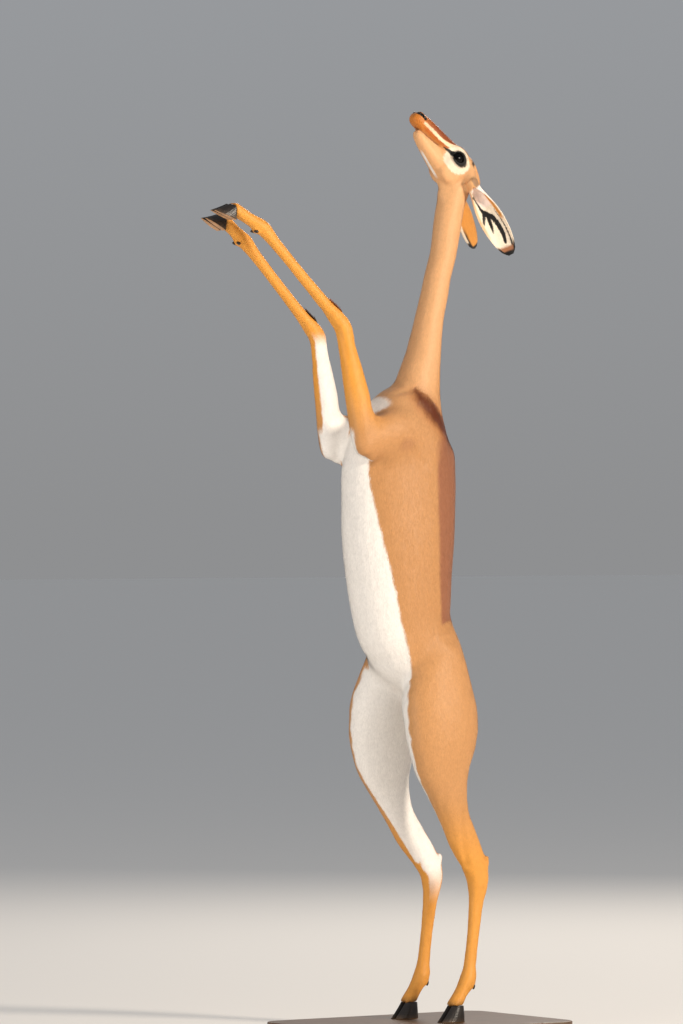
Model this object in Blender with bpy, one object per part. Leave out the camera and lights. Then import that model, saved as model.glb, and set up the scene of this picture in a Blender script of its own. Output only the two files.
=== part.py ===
"""A life-size female gerenuk that stands on its hind legs to browse, on a flat display base.

Metres, +Z up. The animal faces -X with its belly to -X, its left side is -Y, and the origin is the
centre of the base's underside. The flesh is modelled whole and parted with thin cuts.
"""

import math

import bmesh
import bpy
import numpy as np
from mathutils import Matrix, Vector

# Driving dimensions
GAP = 0.0003
BASE_LENGTH = 0.560
BASE_WIDTH = 0.380
BASE_THICKNESS = 0.020
BASE_CORNER = 0.045
BASE_CENTRE_X = 0.0
BASE_BEVEL = 0.0025

FLOOR_Z = BASE_THICKNESS + GAP
POLL = Vector((0.1528, 0.0, 1.7826))
HEAD_LENGTH = 0.2215
HEAD_PITCH = math.radians(38.5)
EYE_RADIUS = 0.0182
EAR_LENGTH = 0.1660
TAIL_LENGTH = 0.270
HOOF_LENGTH = 0.054
FORE_HOOF_LENGTH = 0.061
HOOF_WIDTH = 0.0175

# Mesh fineness
BODY_VOXEL = 0.0040
HEAD_VOXEL = 0.0018
BODY_TRIANGLES = 6000
HEAD_TRIANGLES = 2500
RING_SIDES = 36
SMALL_RING_SIDES = 16

SMALL_FORMS = ("tail", "hoof", "ear_stem")

FORWARD = Vector((-1.0, 0.0, 0.0))
LEFT, RIGHT = -1, 1
SIDE_NAMES = {LEFT: "left", RIGHT: "right"}

MATERIALS = {
    "coat": ("8F5A33", 0.62),
    "coat_head": ("B9814F", 0.60),
    "coat_leg": ("B8793E", 0.60),
    "ear_skin": ("A87850", 0.60),
    "eye": ("0A0706", 0.08),
    "hoof": ("1D1815", 0.38),
    "stand": ("3A2A20", 0.50),
}


def clear_scene():
    """Removes every object that Blender starts with."""
    for found in list(bpy.data.objects):
        bpy.data.objects.remove(found, do_unlink=True)


def material(name):
    """Returns the named Principled material, made once."""
    if name in bpy.data.materials:
        return bpy.data.materials[name]
    hex_colour, roughness = MATERIALS[name]
    made = bpy.data.materials.new(name)
    made.use_nodes = True
    shader = made.node_tree.nodes["Principled BSDF"]
    channels = [int(hex_colour[i : i + 2], 16) / 255 for i in (0, 2, 4)]
    linear = [c / 12.92 if c <= 0.04045 else ((c + 0.055) / 1.055) ** 2.4 for c in channels]
    shader.inputs["Base Color"].default_value = (*linear, 1.0)
    shader.inputs["Roughness"].default_value = roughness
    shader.inputs["Metallic"].default_value = 0.0
    return made


def new_object(name, vertices, faces):
    """Links a new mesh object to the scene."""
    mesh = bpy.data.meshes.new(name)
    mesh.from_pydata([tuple(v) for v in vertices], [], [tuple(f) for f in faces])
    mesh.update()
    made = bpy.data.objects.new(name, mesh)
    bpy.context.scene.collection.objects.link(made)
    return made


def remove(*objects):
    """Removes objects that were only steps towards a node."""
    for found in objects:
        bpy.data.objects.remove(found, do_unlink=True)


def spline(rows, per_span):
    """Catmull-Rom through rows of numbers, with per_span steps between neighbours."""
    rows = np.array(rows, float)
    padded = np.vstack([2 * rows[0] - rows[1], rows, 2 * rows[-1] - rows[-2]])
    made = []
    for i in range(len(rows) - 1):
        a, b, c, d = padded[i : i + 4]
        for step in range(per_span):
            t = step / per_span
            made.append(
                0.5
                * (2 * b + (c - a) * t + (2 * a - 5 * b + 4 * c - d) * t**2 + (3 * b - a - 3 * c + d) * t**3)
            )
    made.append(rows[-1])
    return np.array(made)


def signed_power(value, exponent):
    """A power that keeps the sign, for superellipses."""
    return math.copysign(abs(value) ** exponent, value)


def loft(name, sections, towards=FORWARD, squareness=2.2, per_span=6, domes=(0.35, 0.35)):
    """A closed form through sections of (x, y, z, front, back, side).

    Front and back are the half depths towards and away from the given direction, and side is the
    half width across it. Each end is closed by a low dome.
    """
    rows = spline(sections, per_span)
    ring_sides = SMALL_RING_SIDES if name in SMALL_FORMS else RING_SIDES
    centres = rows[:, :3]
    tangents = np.gradient(centres, axis=0)
    power = 2.0 / squareness
    vertices, faces = [], []
    for centre, tangent, (front, back, side) in zip(centres, tangents, rows[:, 3:6]):
        along = Vector(tangent).normalized()
        ahead = (Vector(towards) - along * Vector(towards).dot(along)).normalized()
        across = along.cross(ahead)
        for k in range(ring_sides):
            turn = 2 * math.pi * k / ring_sides
            c = signed_power(math.cos(turn), power)
            s = signed_power(math.sin(turn), power)
            vertices.append(Vector(centre) + ahead * c * (front if c > 0 else back) + across * s * side)
    for i in range(len(rows) - 1):
        for k in range(ring_sides):
            after = (k + 1) % ring_sides
            low, high = i * ring_sides, (i + 1) * ring_sides
            faces.append((low + k, low + after, high + after, high + k))
    for end, sign, height in ((0, -1, domes[0]), (len(rows) - 1, 1, domes[1])):
        along = Vector(tangents[end]).normalized()
        dome = Vector(centres[end]) + along * sign * height * min(rows[end, 3:6])
        vertices.append(dome)
        tip = len(vertices) - 1
        for k in range(ring_sides):
            after = (k + 1) % ring_sides
            pair = (end * ring_sides + k, end * ring_sides + after)
            faces.append((tip, pair[1], pair[0]) if sign < 0 else (tip, pair[0], pair[1]))
    made = new_object(name, vertices, faces)
    face_outwards(made)
    return made


def ellipsoid(name, centre, axes, sizes, rings=16):
    """A closed ellipsoid with the given unit axes and half sizes."""
    bm = bmesh.new()
    bmesh.ops.create_uvsphere(bm, u_segments=2 * rings, v_segments=rings, radius=1.0)
    turn = Matrix([[axes[c][r] * sizes[c] for c in range(3)] for r in range(3)]).to_4x4()
    bmesh.ops.transform(bm, matrix=Matrix.Translation(centre) @ turn, verts=bm.verts)
    mesh = bpy.data.meshes.new(name)
    bm.to_mesh(mesh)
    bm.free()
    made = bpy.data.objects.new(name, mesh)
    bpy.context.scene.collection.objects.link(made)
    face_outwards(made)
    return made


def face_outwards(obj):
    """Recalculates the normals of a closed mesh so that its faces point out."""
    bm = bmesh.new()
    bm.from_mesh(obj.data)
    bmesh.ops.recalc_face_normals(bm, faces=bm.faces)
    if bm.calc_volume(signed=True) < 0:
        bmesh.ops.reverse_faces(bm, faces=bm.faces)
    bm.to_mesh(obj.data)
    bm.free()


def joined(name, objects):
    """Joins objects into one mesh object, without a Boolean."""
    bm = bmesh.new()
    for found in objects:
        bm.from_mesh(found.data)
    mesh = bpy.data.meshes.new(name)
    bm.to_mesh(mesh)
    bm.free()
    remove(*objects)
    made = bpy.data.objects.new(name, mesh)
    bpy.context.scene.collection.objects.link(made)
    return made


def apply_modifiers(obj):
    """Replaces an object's mesh by what its modifiers make of it."""
    graph = bpy.context.evaluated_depsgraph_get()
    mesh = bpy.data.meshes.new_from_object(obj.evaluated_get(graph))
    obj.modifiers.clear()
    obj.data = mesh


def remeshed(obj, voxel):
    """Makes overlapping closed forms one skin of even quads."""
    step = obj.modifiers.new("skin", "REMESH")
    step.mode = "VOXEL"
    step.voxel_size = voxel
    apply_modifiers(obj)
    return obj


def relaxed(obj, zones, rounds, shrink=0.5, swell=-0.52):
    """Softens a skin: evenly where it is plain, and with a real fillet inside the zones.

    Each zone is (x, y, z, radius). Outside them every inward step is undone by an outward one, so
    that thin legs keep their thickness.
    """
    mesh = obj.data
    count = len(mesh.vertices)
    points = np.empty(count * 3)
    mesh.vertices.foreach_get("co", points)
    points = points.reshape(-1, 3)
    edges = np.empty(len(mesh.edges) * 2, int)
    mesh.edges.foreach_get("vertices", edges)
    a, b = edges.reshape(-1, 2).T
    valence = np.bincount(a, minlength=count) + np.bincount(b, minlength=count)
    fillet = np.zeros(count)
    for x, y, z, radius in zones:
        far = np.linalg.norm(points - (x, y, z), axis=1) / radius
        fillet = np.maximum(fillet, np.clip(1.6 * (1 - far), 0, 1))

    def pull(current):
        total = np.empty_like(current)
        for axis in range(3):
            total[:, axis] = np.bincount(a, current[b, axis], count)
            total[:, axis] += np.bincount(b, current[a, axis], count)
        return total / valence[:, None] - current

    for _ in range(rounds):
        points = points + shrink * pull(points)
        points = points + (swell * (1 - fillet))[:, None] * pull(points)
    mesh.vertices.foreach_set("co", points.ravel())
    mesh.update()
    return obj


def decimated(obj, triangles):
    """Thins a skin to about this many triangles."""
    obj.data.calc_loop_triangles()
    step = obj.modifiers.new("fewer", "DECIMATE")
    step.ratio = min(1.0, triangles / len(obj.data.loop_triangles))
    apply_modifiers(obj)
    return obj


def combine(target, tools, operation, solver="EXACT"):
    """Joins closed tools to the target, or cuts them from it, in one Boolean on a collection."""
    group = bpy.data.collections.new("tools")
    bpy.context.scene.collection.children.link(group)
    for tool in tools:
        group.objects.link(tool)
    step = target.modifiers.new(operation.lower(), "BOOLEAN")
    step.operation = operation
    step.operand_type = "COLLECTION"
    step.collection = group
    step.solver = solver
    bpy.context.view_layer.update()
    apply_modifiers(target)
    remove(*tools)
    bpy.data.collections.remove(group)
    return target


def slab(centre, normal, size, thickness=GAP):
    """A thin square plate that parts one node from the next."""
    normal = Vector(normal).normalized()
    bm = bmesh.new()
    bmesh.ops.create_cube(bm, size=1.0)
    turn = normal.to_track_quat("Z", "Y").to_matrix().to_4x4()
    shape = Matrix.Diagonal((size, size, thickness, 1.0))
    bmesh.ops.transform(bm, matrix=Matrix.Translation(centre) @ turn @ shape, verts=bm.verts)
    mesh = bpy.data.meshes.new("slab")
    bm.to_mesh(mesh)
    bm.free()
    made = bpy.data.objects.new("slab", mesh)
    bpy.context.scene.collection.objects.link(made)
    return made


def closed_pieces(obj):
    """The separate closed surfaces of a mesh, as (centroid, volume, vertices, faces)."""
    bm = bmesh.new()
    bm.from_mesh(obj.data)
    bmesh.ops.remove_doubles(bm, verts=bm.verts, dist=1e-6)
    bmesh.ops.triangulate(bm, faces=bm.faces)
    bm.verts.index_update()
    seen = set()
    found = []
    for start in bm.verts:
        if start.index in seen:
            continue
        stack, members = [start], []
        seen.add(start.index)
        while stack:
            vertex = stack.pop()
            members.append(vertex)
            for edge in vertex.link_edges:
                other = edge.other_vert(vertex)
                if other.index not in seen:
                    seen.add(other.index)
                    stack.append(other)
        order = {vertex.index: i for i, vertex in enumerate(members)}
        points = [vertex.co.copy() for vertex in members]
        triangles = {face.index: face for vertex in members for face in vertex.link_faces}
        faces = [[order[v.index] for v in face.verts] for face in triangles.values()]
        volume = sum(points[f[0]].dot(points[f[1]].cross(points[f[2]])) for f in faces) / 6
        centre = sum(points, Vector()) / len(points)
        found.append((centre, volume, points, faces))
    bm.free()
    return found


def named_pieces(obj, marks, finish):
    """Parts a cut mesh into nodes, each named after the mark nearest to its middle."""
    best = {}
    for centre, volume, points, faces in closed_pieces(obj):
        if volume <= 1e-9:
            continue
        name = min(marks, key=lambda key: (Vector(marks[key]) - centre).length)
        if name not in best or volume > best[name][0]:
            best[name] = (volume, points, faces)
    remove(obj)
    made = {}
    for name, (_, points, faces) in best.items():
        node = new_object(name, points, faces)
        node.data.materials.append(material(finish(name)))
        node.data.shade_smooth()
        node.data.set_sharp_from_angle(angle=math.radians(50))
        made[name] = node
    return made


# Torso and neck, as (x, y, z, front, back, side)
TORSO = (
    (0.002, 0.0, 0.690, 0.030, 0.040, 0.030),
    (-0.002, 0.0, 0.730, 0.060, 0.062, 0.058),
    (-0.014, 0.0, 0.778, 0.092, 0.084, 0.078),
    (-0.028, 0.0, 0.822, 0.103, 0.100, 0.083),
    (-0.044, 0.0, 0.864, 0.112, 0.110, 0.084),
    (-0.0538, 0.0, 0.946, 0.1205, 0.1205, 0.089),
    (-0.0564, 0.0, 1.030, 0.1300, 0.1300, 0.091),
    (-0.0555, 0.0, 1.114, 0.1340, 0.1340, 0.087),
    (-0.0545, 0.0, 1.177, 0.1340, 0.1345, 0.083),
    (-0.0480, 0.0, 1.240, 0.1180, 0.1250, 0.078),
    (-0.0340, 0.0, 1.288, 0.0940, 0.0940, 0.069),
    (-0.0180, 0.0, 1.330, 0.0640, 0.0680, 0.054),
)
NECK = (
    (-0.0300, 0.0, 1.290, 0.080, 0.080, 0.054),
    (-0.0160, 0.0, 1.320, 0.066, 0.068, 0.049),
    (-0.0090, 0.0, 1.3450, 0.0560, 0.0575, 0.0445),
    (-0.0013, 0.0, 1.3766, 0.0495, 0.0495, 0.0410),
    (0.0085, 0.0, 1.4186, 0.0405, 0.0400, 0.0370),
    (0.0167, 0.0, 1.4606, 0.0345, 0.0345, 0.0335),
    (0.0256, 0.0, 1.5026, 0.0320, 0.0315, 0.0305),
    (0.0367, 0.0, 1.5446, 0.0310, 0.0310, 0.0290),
    (0.0461, 0.0, 1.5866, 0.0298, 0.0298, 0.0282),
    (0.0590, 0.0, 1.6286, 0.0298, 0.0298, 0.0282),
    (0.0673, 0.0, 1.6706, 0.0315, 0.0310, 0.0285),
    (0.0740, 0.0, 1.7126, 0.0325, 0.0325, 0.0290),
    (0.0830, 0.0, 1.7450, 0.0325, 0.0310, 0.0295),
    (0.0980, 0.0, 1.7820, 0.0330, 0.0300, 0.0290),
)

# Hind leg of the left side, from the hip to the coronet
HIND = (
    (0.012, -0.034, 0.850, 0.050, 0.045, 0.030),
    (0.008, -0.050, 0.790, 0.062, 0.062, 0.046),
    (-0.001, -0.067, 0.700, 0.0860, 0.0860, 0.053),
    (-0.0005, -0.076, 0.652, 0.0880, 0.0880, 0.051),
    (-0.0020, -0.081, 0.610, 0.0840, 0.0840, 0.046),
    (-0.0005, -0.082, 0.558, 0.0690, 0.0690, 0.039),
    (0.0125, -0.081, 0.505, 0.0480, 0.0480, 0.031),
    (0.0326, -0.077, 0.4526, 0.0355, 0.0355, 0.0245),
    (0.0531, -0.075, 0.4106, 0.0350, 0.0350, 0.0210),
    (0.0713, -0.073, 0.3791, 0.0330, 0.0330, 0.0190),
    (0.0880, -0.072, 0.3476, 0.0290, 0.0300, 0.0183),
    (0.0955, -0.071, 0.3250, 0.0255, 0.0280, 0.0183),
    (0.0970, -0.071, 0.3000, 0.0215, 0.0235, 0.0165),
    (0.0935, -0.071, 0.2680, 0.0165, 0.0170, 0.0130),
    (0.0850, -0.072, 0.2000, 0.0135, 0.0140, 0.0110),
    (0.0765, -0.072, 0.1400, 0.0138, 0.0150, 0.0116),
    (0.0715, -0.072, 0.1120, 0.0165, 0.0190, 0.0160),
    (0.0540, -0.072, 0.0820, 0.0135, 0.0145, 0.0150),
    (0.0370, -0.072, 0.0560, 0.0150, 0.0160, 0.0175),
    (0.0330, -0.072, 0.0500, 0.0150, 0.0160, 0.0175),
)
# How far the right hind leg stands ahead of the left, at the thigh and at the hock and below
RIGHT_THIGH_LEAD = 0.033
RIGHT_SHANK_LEAD = 0.0164
LEAD_BEGINS = 0.340
LEAD_SPAN = 0.100

# Fore leg joints: elbow, knee, fetlock, coronet and the tip of the toes, for each side
FORE_JOINTS = {
    LEFT: (
        (-0.1810, -0.066, 1.2260),
        (-0.2330, -0.050, 1.4740),
        (-0.4100, -0.011, 1.6765),
        (-0.4790, -0.006, 1.7135),
        (-0.5320, -0.003, 1.7113),
    ),
    RIGHT: (
        (-0.1740, 0.066, 1.2200),
        (-0.2290, 0.050, 1.4560),
        (-0.4080, 0.058, 1.6510),
        (-0.4610, 0.058, 1.6937),
        (-0.5230, 0.058, 1.6993),
    ),
}
# The way the raised fore legs' rear sides face
PALMAR = Vector((-0.6, 0.0, -0.8))
# (joint before, share of the way to the next, front, back, side)
FORE_SECTIONS = (
    (0, -0.07, 0.026, 0.025, 0.0200),
    (0, 0.02, 0.033, 0.034, 0.0250),
    (0, 0.20, 0.0325, 0.032, 0.0245),
    (0, 0.42, 0.0280, 0.0280, 0.0215),
    (0, 0.66, 0.0230, 0.0230, 0.0180),
    (0, 0.84, 0.0190, 0.0185, 0.0160),
    (0, 0.98, 0.0185, 0.0195, 0.0170),
    (1, 0.08, 0.0165, 0.0185, 0.0165),
    (1, 0.20, 0.0132, 0.0146, 0.0130),
    (1, 0.50, 0.0118, 0.0130, 0.0106),
    (1, 0.84, 0.0120, 0.0140, 0.0112),
    (1, 0.99, 0.0155, 0.0170, 0.0150),
    (2, 0.45, 0.0125, 0.0135, 0.0140),
    (2, 0.90, 0.0135, 0.0150, 0.0165),
    (3, 0.10, 0.0135, 0.0155, 0.0170),
)


def mirrored(rows, side):
    """Rows of a left-hand form, turned over for the right where asked."""
    return [(x, y * -side, z, *rest) for x, y, z, *rest in rows]


def hind_sections(side):
    """The hind leg's sections. The right leg stands a little ahead of the left."""
    rows = mirrored(HIND, side)
    if side == LEFT:
        return rows
    thigh_top = HIND[1][2]
    made = []
    for x, y, z, *rest in rows:
        share = min(1.0, max(0.0, (z - LEAD_BEGINS) / LEAD_SPAN))
        lead = RIGHT_SHANK_LEAD + (RIGHT_THIGH_LEAD - RIGHT_SHANK_LEAD) * share
        if z > thigh_top:
            lead *= 0.4
        made.append((x - lead, y, z, *rest))
    return made


def fore_sections(side):
    """The raised fore leg's sections, laid along its bones."""
    joints = [Vector(j) for j in FORE_JOINTS[side]]
    return [(*joints[i].lerp(joints[i + 1], share), *sizes) for i, share, *sizes in FORE_SECTIONS]


def head_axes():
    """The head's own directions: from muzzle to poll, and dorsal."""
    along = Vector((math.cos(HEAD_PITCH), 0.0, -math.sin(HEAD_PITCH)))
    dorsal = Vector((math.sin(HEAD_PITCH), 0.0, math.cos(HEAD_PITCH)))
    return along, dorsal


def head_point(along_m, dorsal_m, side_m=0.0):
    """A point given from the muzzle's tip: back along the head, up from its line, and sideways."""
    along, dorsal = head_axes()
    muzzle = POLL - along * HEAD_LENGTH
    return muzzle + along * along_m + dorsal * dorsal_m + Vector((0.0, side_m, 0.0))


# Head sections as (distance from the muzzle's tip, dorsal edge, ventral edge, half width)
UPPER_HEAD = (
    (0.0010, 0.0065, -0.0055, 0.0090),
    (0.0070, 0.0135, -0.0120, 0.0142),
    (0.0180, 0.0198, -0.0150, 0.0175),
    (0.0380, 0.0228, -0.0155, 0.0185),
    (0.0650, 0.0230, -0.0170, 0.0205),
    (0.0900, 0.0228, -0.0240, 0.0250),
    (0.1120, 0.0230, -0.0330, 0.0305),
    (0.1350, 0.0245, -0.0400, 0.0345),
    (0.1560, 0.0245, -0.0440, 0.0350),
    (0.1780, 0.0210, -0.0440, 0.0335),
    (0.2000, 0.0110, -0.0380, 0.0300),
    (0.2150, -0.0020, -0.0280, 0.0235),
)
LOWER_JAW = (
    (0.0270, -0.0170, -0.0250, 0.0080),
    (0.0330, -0.0120, -0.0305, 0.0118),
    (0.0440, -0.0110, -0.0360, 0.0145),
    (0.0650, -0.0110, -0.0435, 0.0170),
    (0.0900, -0.0130, -0.0505, 0.0200),
    (0.1120, -0.0160, -0.0565, 0.0230),
    (0.1340, -0.0200, -0.0605, 0.0252),
    (0.1520, -0.0260, -0.0600, 0.0258),
    (0.1700, -0.0300, -0.0540, 0.0245),
)
EYE_AT = (0.1309, -0.0100, 0.0212)


def head_loft(name, rows):
    """A loft along the head's own line."""
    _, dorsal = head_axes()
    sections = []
    for distance, top, bottom, width in rows:
        middle = head_point(distance, (top + bottom) / 2)
        half = (top - bottom) / 2
        sections.append((*middle, half, half, width))
    return loft(name, sections, towards=dorsal, squareness=2.25)


def head_forms():
    """The overlapping forms of the head: skull, jaw, cheeks, brows and the roots of the ears."""
    along, dorsal = head_axes()
    across = Vector((0.0, 1.0, 0.0))
    axes = (along, across, dorsal)
    forms = [head_loft("skull", UPPER_HEAD), head_loft("jaw", LOWER_JAW)]
    for side in (LEFT, RIGHT):
        parts = (
            ("brow", (0.1330, 0.0075, 0.0262 * side), (0.0250, 0.0105, 0.0120)),
            ("cheekbone", (0.1360, -0.0270, 0.0250 * side), (0.0260, 0.0100, 0.0100)),
            ("masseter", (0.1400, -0.0400, 0.0190 * side), (0.0320, 0.0115, 0.0215)),
            ("temple", (0.1660, -0.0010, 0.0230 * side), (0.0280, 0.0110, 0.0180)),
            ("nostril_wing", (0.0140, 0.0090, 0.0092 * side), (0.0125, 0.0072, 0.0080)),
        )
        for name, place, sizes in parts:
            forms.append(ellipsoid(name, head_point(*place), axes, sizes))
    forms.append(ellipsoid("throat", head_point(0.162, -0.046), axes, (0.036, 0.024, 0.022)))
    forms.append(ellipsoid("nape", head_point(0.195, -0.014), axes, (0.030, 0.024, 0.025)))
    return forms


def body_forms():
    """The overlapping forms of torso, neck, shoulders and legs."""
    forms = [loft("torso", TORSO, squareness=2.15), loft("neck", NECK, squareness=2.05)]
    forms.append(loft("tail", TAIL_SECTIONS[: TAIL_CUT + 2]))
    forms += dewclaw_forms()
    lateral = Vector((0.0, 1.0, 0.0))
    for side in (LEFT, RIGHT):
        elbow = Vector(FORE_JOINTS[side][0])
        forms.append(loft("hind", hind_sections(side)))
        forms.append(loft("fore", fore_sections(side), towards=PALMAR))
        shoulder = Vector((-0.052, 0.046 * side, 1.268))
        rear = Vector((-0.012, 0.046 * side, 1.195))
        blade = (shoulder - rear).normalized()
        forms.append(
            ellipsoid("blade", (shoulder + rear) / 2, (blade, lateral, blade.cross(lateral)), (0.090, 0.036, 0.066))
        )
        arm_rows = (
            (-0.025, 0.044 * side, 1.248, 0.060, 0.064, 0.034),
            (-0.085, 0.052 * side, 1.252, 0.060, 0.060, 0.036),
            (-0.135, 0.060 * side, 1.246, 0.050, 0.046, 0.031),
            (elbow.x - 0.006, elbow.y, elbow.z + 0.012, 0.038, 0.028, 0.0250),
            (elbow.x - 0.024, elbow.y, elbow.z + 0.016, 0.024, 0.018, 0.0170),
        )
        forms.append(loft("upper_arm", arm_rows, towards=Vector((0.0, 0.0, 1.0))))
        point = Vector((elbow.x + 0.012, elbow.y, elbow.z - 0.018))
        forms.append(ellipsoid("elbow_point", point, (FORWARD, lateral, Vector((0, 0, 1))), (0.018, 0.0125, 0.018)))
        hock = Vector(hind_sections(side)[10][:3])
        heel_axis = Vector((0.34, 0.0, 0.94))
        forms.append(
            ellipsoid(
                "heel_bone",
                hock + Vector((0.0245, 0.0, -0.006)),
                (heel_axis, lateral, heel_axis.cross(lateral)),
                (0.030, 0.0095, 0.0110),
            )
        )
    return forms


# Where the skin is drawn into soft folds, as (x, y, z, radius)
FOLD_ZONES = (
    (-0.070, -0.070, 1.235, 0.150),
    (-0.070, 0.070, 1.235, 0.150),
    (-0.020, 0.000, 1.330, 0.110),
    (-0.010, -0.060, 0.780, 0.140),
    (-0.020, 0.060, 0.780, 0.140),
    (0.010, 0.000, 0.720, 0.070),
    (0.045, 0.000, 0.830, 0.060),
)


def body_skin():
    """Torso, neck and legs as one even skin, cut off at the throat."""
    skin = remeshed(joined("body", body_forms()), BODY_VOXEL)
    relaxed(skin, FOLD_ZONES, rounds=40)
    return decimated(skin, BODY_TRIANGLES)


def head_skin():
    """The head on the top of the neck, finer than the body."""
    top_of_neck = loft("neck_top", NECK[-6:], squareness=2.05)
    stems = [ear_stem(side) for side in (LEFT, RIGHT)]
    lids = [lid_form(side) for side in (LEFT, RIGHT)]
    skin = remeshed(joined("head", [*head_forms(), *stems, *lids, top_of_neck]), HEAD_VOXEL)
    zones = [(*head_point(0.150, -0.010), 0.150)]
    relaxed(skin, zones, rounds=24)
    return decimated(skin, HEAD_TRIANGLES)


THROAT_CUT = ((0.0720, 0.0, 1.7060), (0.20, 0.0, 1.0))


def halves(obj, centre, normal, keep_above):
    """Keeps the part of a skin on one side of a plane, closed by a flat face."""
    bm = bmesh.new()
    bm.from_mesh(obj.data)
    direction = Vector(normal).normalized()
    place = Vector(centre) + direction * (GAP / 2 if keep_above else -GAP / 2)
    cut = bmesh.ops.bisect_plane(
        bm,
        geom=[*bm.verts, *bm.edges, *bm.faces],
        plane_co=place,
        plane_no=direction,
        clear_inner=keep_above,
        clear_outer=not keep_above,
    )
    rim = [e for e in cut["geom_cut"] if isinstance(e, bmesh.types.BMEdge)]
    bmesh.ops.holes_fill(bm, edges=rim)
    bmesh.ops.triangulate(bm, faces=bm.faces)
    bm.to_mesh(obj.data)
    bm.free()
    face_outwards(obj)
    return obj


# Each ear's direction and the way its cup opens; the right ear is laid further out
EAR_WAYS = {
    LEFT: ((0.476, -0.180, -0.860), (-0.580, -0.800, -0.150)),
    RIGHT: ((0.601, 0.319, -0.732), (-0.150, 0.970, -0.150)),
}


def ear_frame(side):
    """Where an ear's cup begins, its direction, and the way its cup opens."""
    root = head_point(0.1930, -0.0335, 0.0380 * side)
    along, opening = (Vector(way) for way in EAR_WAYS[side])
    along.normalize()
    opening = (opening - along * opening.dot(along)).normalized()
    return root, along, opening


# Ear outline as (share of length, half width, depth of the cup)
EAR_ROWS = (
    (0.000, 0.0118, 0.0120),
    (0.08, 0.0130, 0.0135),
    (0.17, 0.0165, 0.0140),
    (0.32, 0.0222, 0.0130),
    (0.46, 0.0252, 0.0120),
    (0.62, 0.0250, 0.0105),
    (0.76, 0.0224, 0.0088),
    (0.87, 0.0180, 0.0066),
    (0.95, 0.0122, 0.0042),
    (1.00, 0.0046, 0.0015),
)
EAR_FLOOR_SHARE = 0.13
EAR_THICKNESS = 0.0034
EAR_SEGMENTS = 10
EAR_STEM = (
    (0.1620, -0.0040, 0.0240, 0.0120),
    (0.1780, -0.0170, 0.0315, 0.0142),
    (0.1890, -0.0290, 0.0365, 0.0142),
)


def ear(side):
    """One long leaf-shaped ear: a cupped sheet of even thickness, closed all round."""
    root, along, opening = ear_frame(side)
    across = along.cross(opening).normalized()
    rows = EAR_ROWS
    inner, outer = [], []
    for share, half_width, depth in rows:
        for k in range(EAR_SEGMENTS + 1):
            turn = math.pi * (k / EAR_SEGMENTS - 0.5)
            middle = root + along * EAR_LENGTH * share
            bow = across * math.sin(turn) * half_width - opening * math.cos(turn) * depth
            edge = abs(math.sin(turn))
            wall = EAR_THICKNESS * (1.0 - 0.45 * edge) * (1.0 - 0.5 * share)
            out = (across * math.sin(turn) * depth - opening * math.cos(turn) * half_width).normalized()
            inner.append(middle + bow)
            outer.append(middle + bow + out * wall)
    points = inner + outer
    width = EAR_SEGMENTS + 1
    total = len(rows) * width
    faces = []
    for i in range(len(rows) - 1):
        for k in range(EAR_SEGMENTS):
            a, b = i * width + k, i * width + k + 1
            c, d = (i + 1) * width + k + 1, (i + 1) * width + k
            faces += [(a, b, c), (a, c, d)]
            faces += [(total + a, total + c, total + b), (total + a, total + d, total + c)]
        for k in (0, EAR_SEGMENTS):
            a, d = i * width + k, (i + 1) * width + k
            faces += [(a, d, total + d), (a, total + d, total + a)]
    last = (len(rows) - 1) * width
    for k in range(EAR_SEGMENTS):
        faces += [(k, k + 1, total + k + 1), (k, total + k + 1, total + k)]
        a, b = last + k, last + k + 1
        faces += [(a, b, total + b), (a, total + b, total + a)]
    made = new_object(f"ear_{SIDE_NAMES[side]}", points, faces)
    face_outwards(made)
    return combine(made, [ear_floor(side)], "UNION")


def ear_floor(side):
    """The flesh that closes the bottom of an ear's cup."""
    root, along, opening = ear_frame(side)
    rows = []
    for share, size in ((0.0, 0.0116), (0.06, 0.0105), (EAR_FLOOR_SHARE, 0.0050)):
        middle = root + along * EAR_LENGTH * share - opening * 0.0035
        rows.append((*middle, size, size, size))
    return loft("ear_stem", rows, towards=opening, squareness=2.0, per_span=2, domes=(0.0, 0.3))


def ear_stem(side):
    """The fleshy base of an ear, from behind the eye to where the cup begins and a little beyond."""
    root, along, opening = ear_frame(side)
    rows = []
    for distance, height, out, size in EAR_STEM:
        rows.append((*head_point(distance, height, out * side), size, size, size))
    rows.append((*(root + along * 0.0020 - opening * 0.0030), 0.0135, 0.0135, 0.0135))
    return loft("ear_stem", rows, towards=opening, squareness=2.0, per_span=4, domes=(0.35, 0.0))


def ear_stem_trim(side):
    """A round cutter that leaves the ear's base with a flat end."""
    root, along, opening = ear_frame(side)
    size = 0.0155
    rows = [(*(root + along * (reach - GAP) - opening * 0.0030), size, size, size) for reach in (0.0, 0.006)]
    return loft("ear_stem", rows, towards=opening, squareness=2.0, per_span=1, domes=(0.0, 0.0))


def ear_clearance(side):
    """A cutter a little bigger than the ear's root, so that the ear stands clear of the nape."""
    root, along, opening = ear_frame(side)
    rows = []
    for share, half_width, depth in EAR_ROWS[:4]:
        middle = root + along * (EAR_LENGTH * share - (GAP if share == 0 else 0.0))
        back = depth + EAR_THICKNESS + 2 * GAP
        rows.append((*middle, 0.004, back, half_width + EAR_THICKNESS + 2 * GAP))
    return loft("ear_stem", rows, towards=opening, squareness=2.3, per_span=3, domes=(0.0, 0.0))


def eye_frame(side):
    """An eyeball's centre and the way it looks: out to the side and a little ahead."""
    along, dorsal = head_axes()
    centre = head_point(EYE_AT[0], EYE_AT[1], EYE_AT[2] * side)
    gaze = (Vector((0.0, side * 1.0, 0.0)) - along * 0.22 + dorsal * 0.10).normalized()
    return centre, gaze


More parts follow.
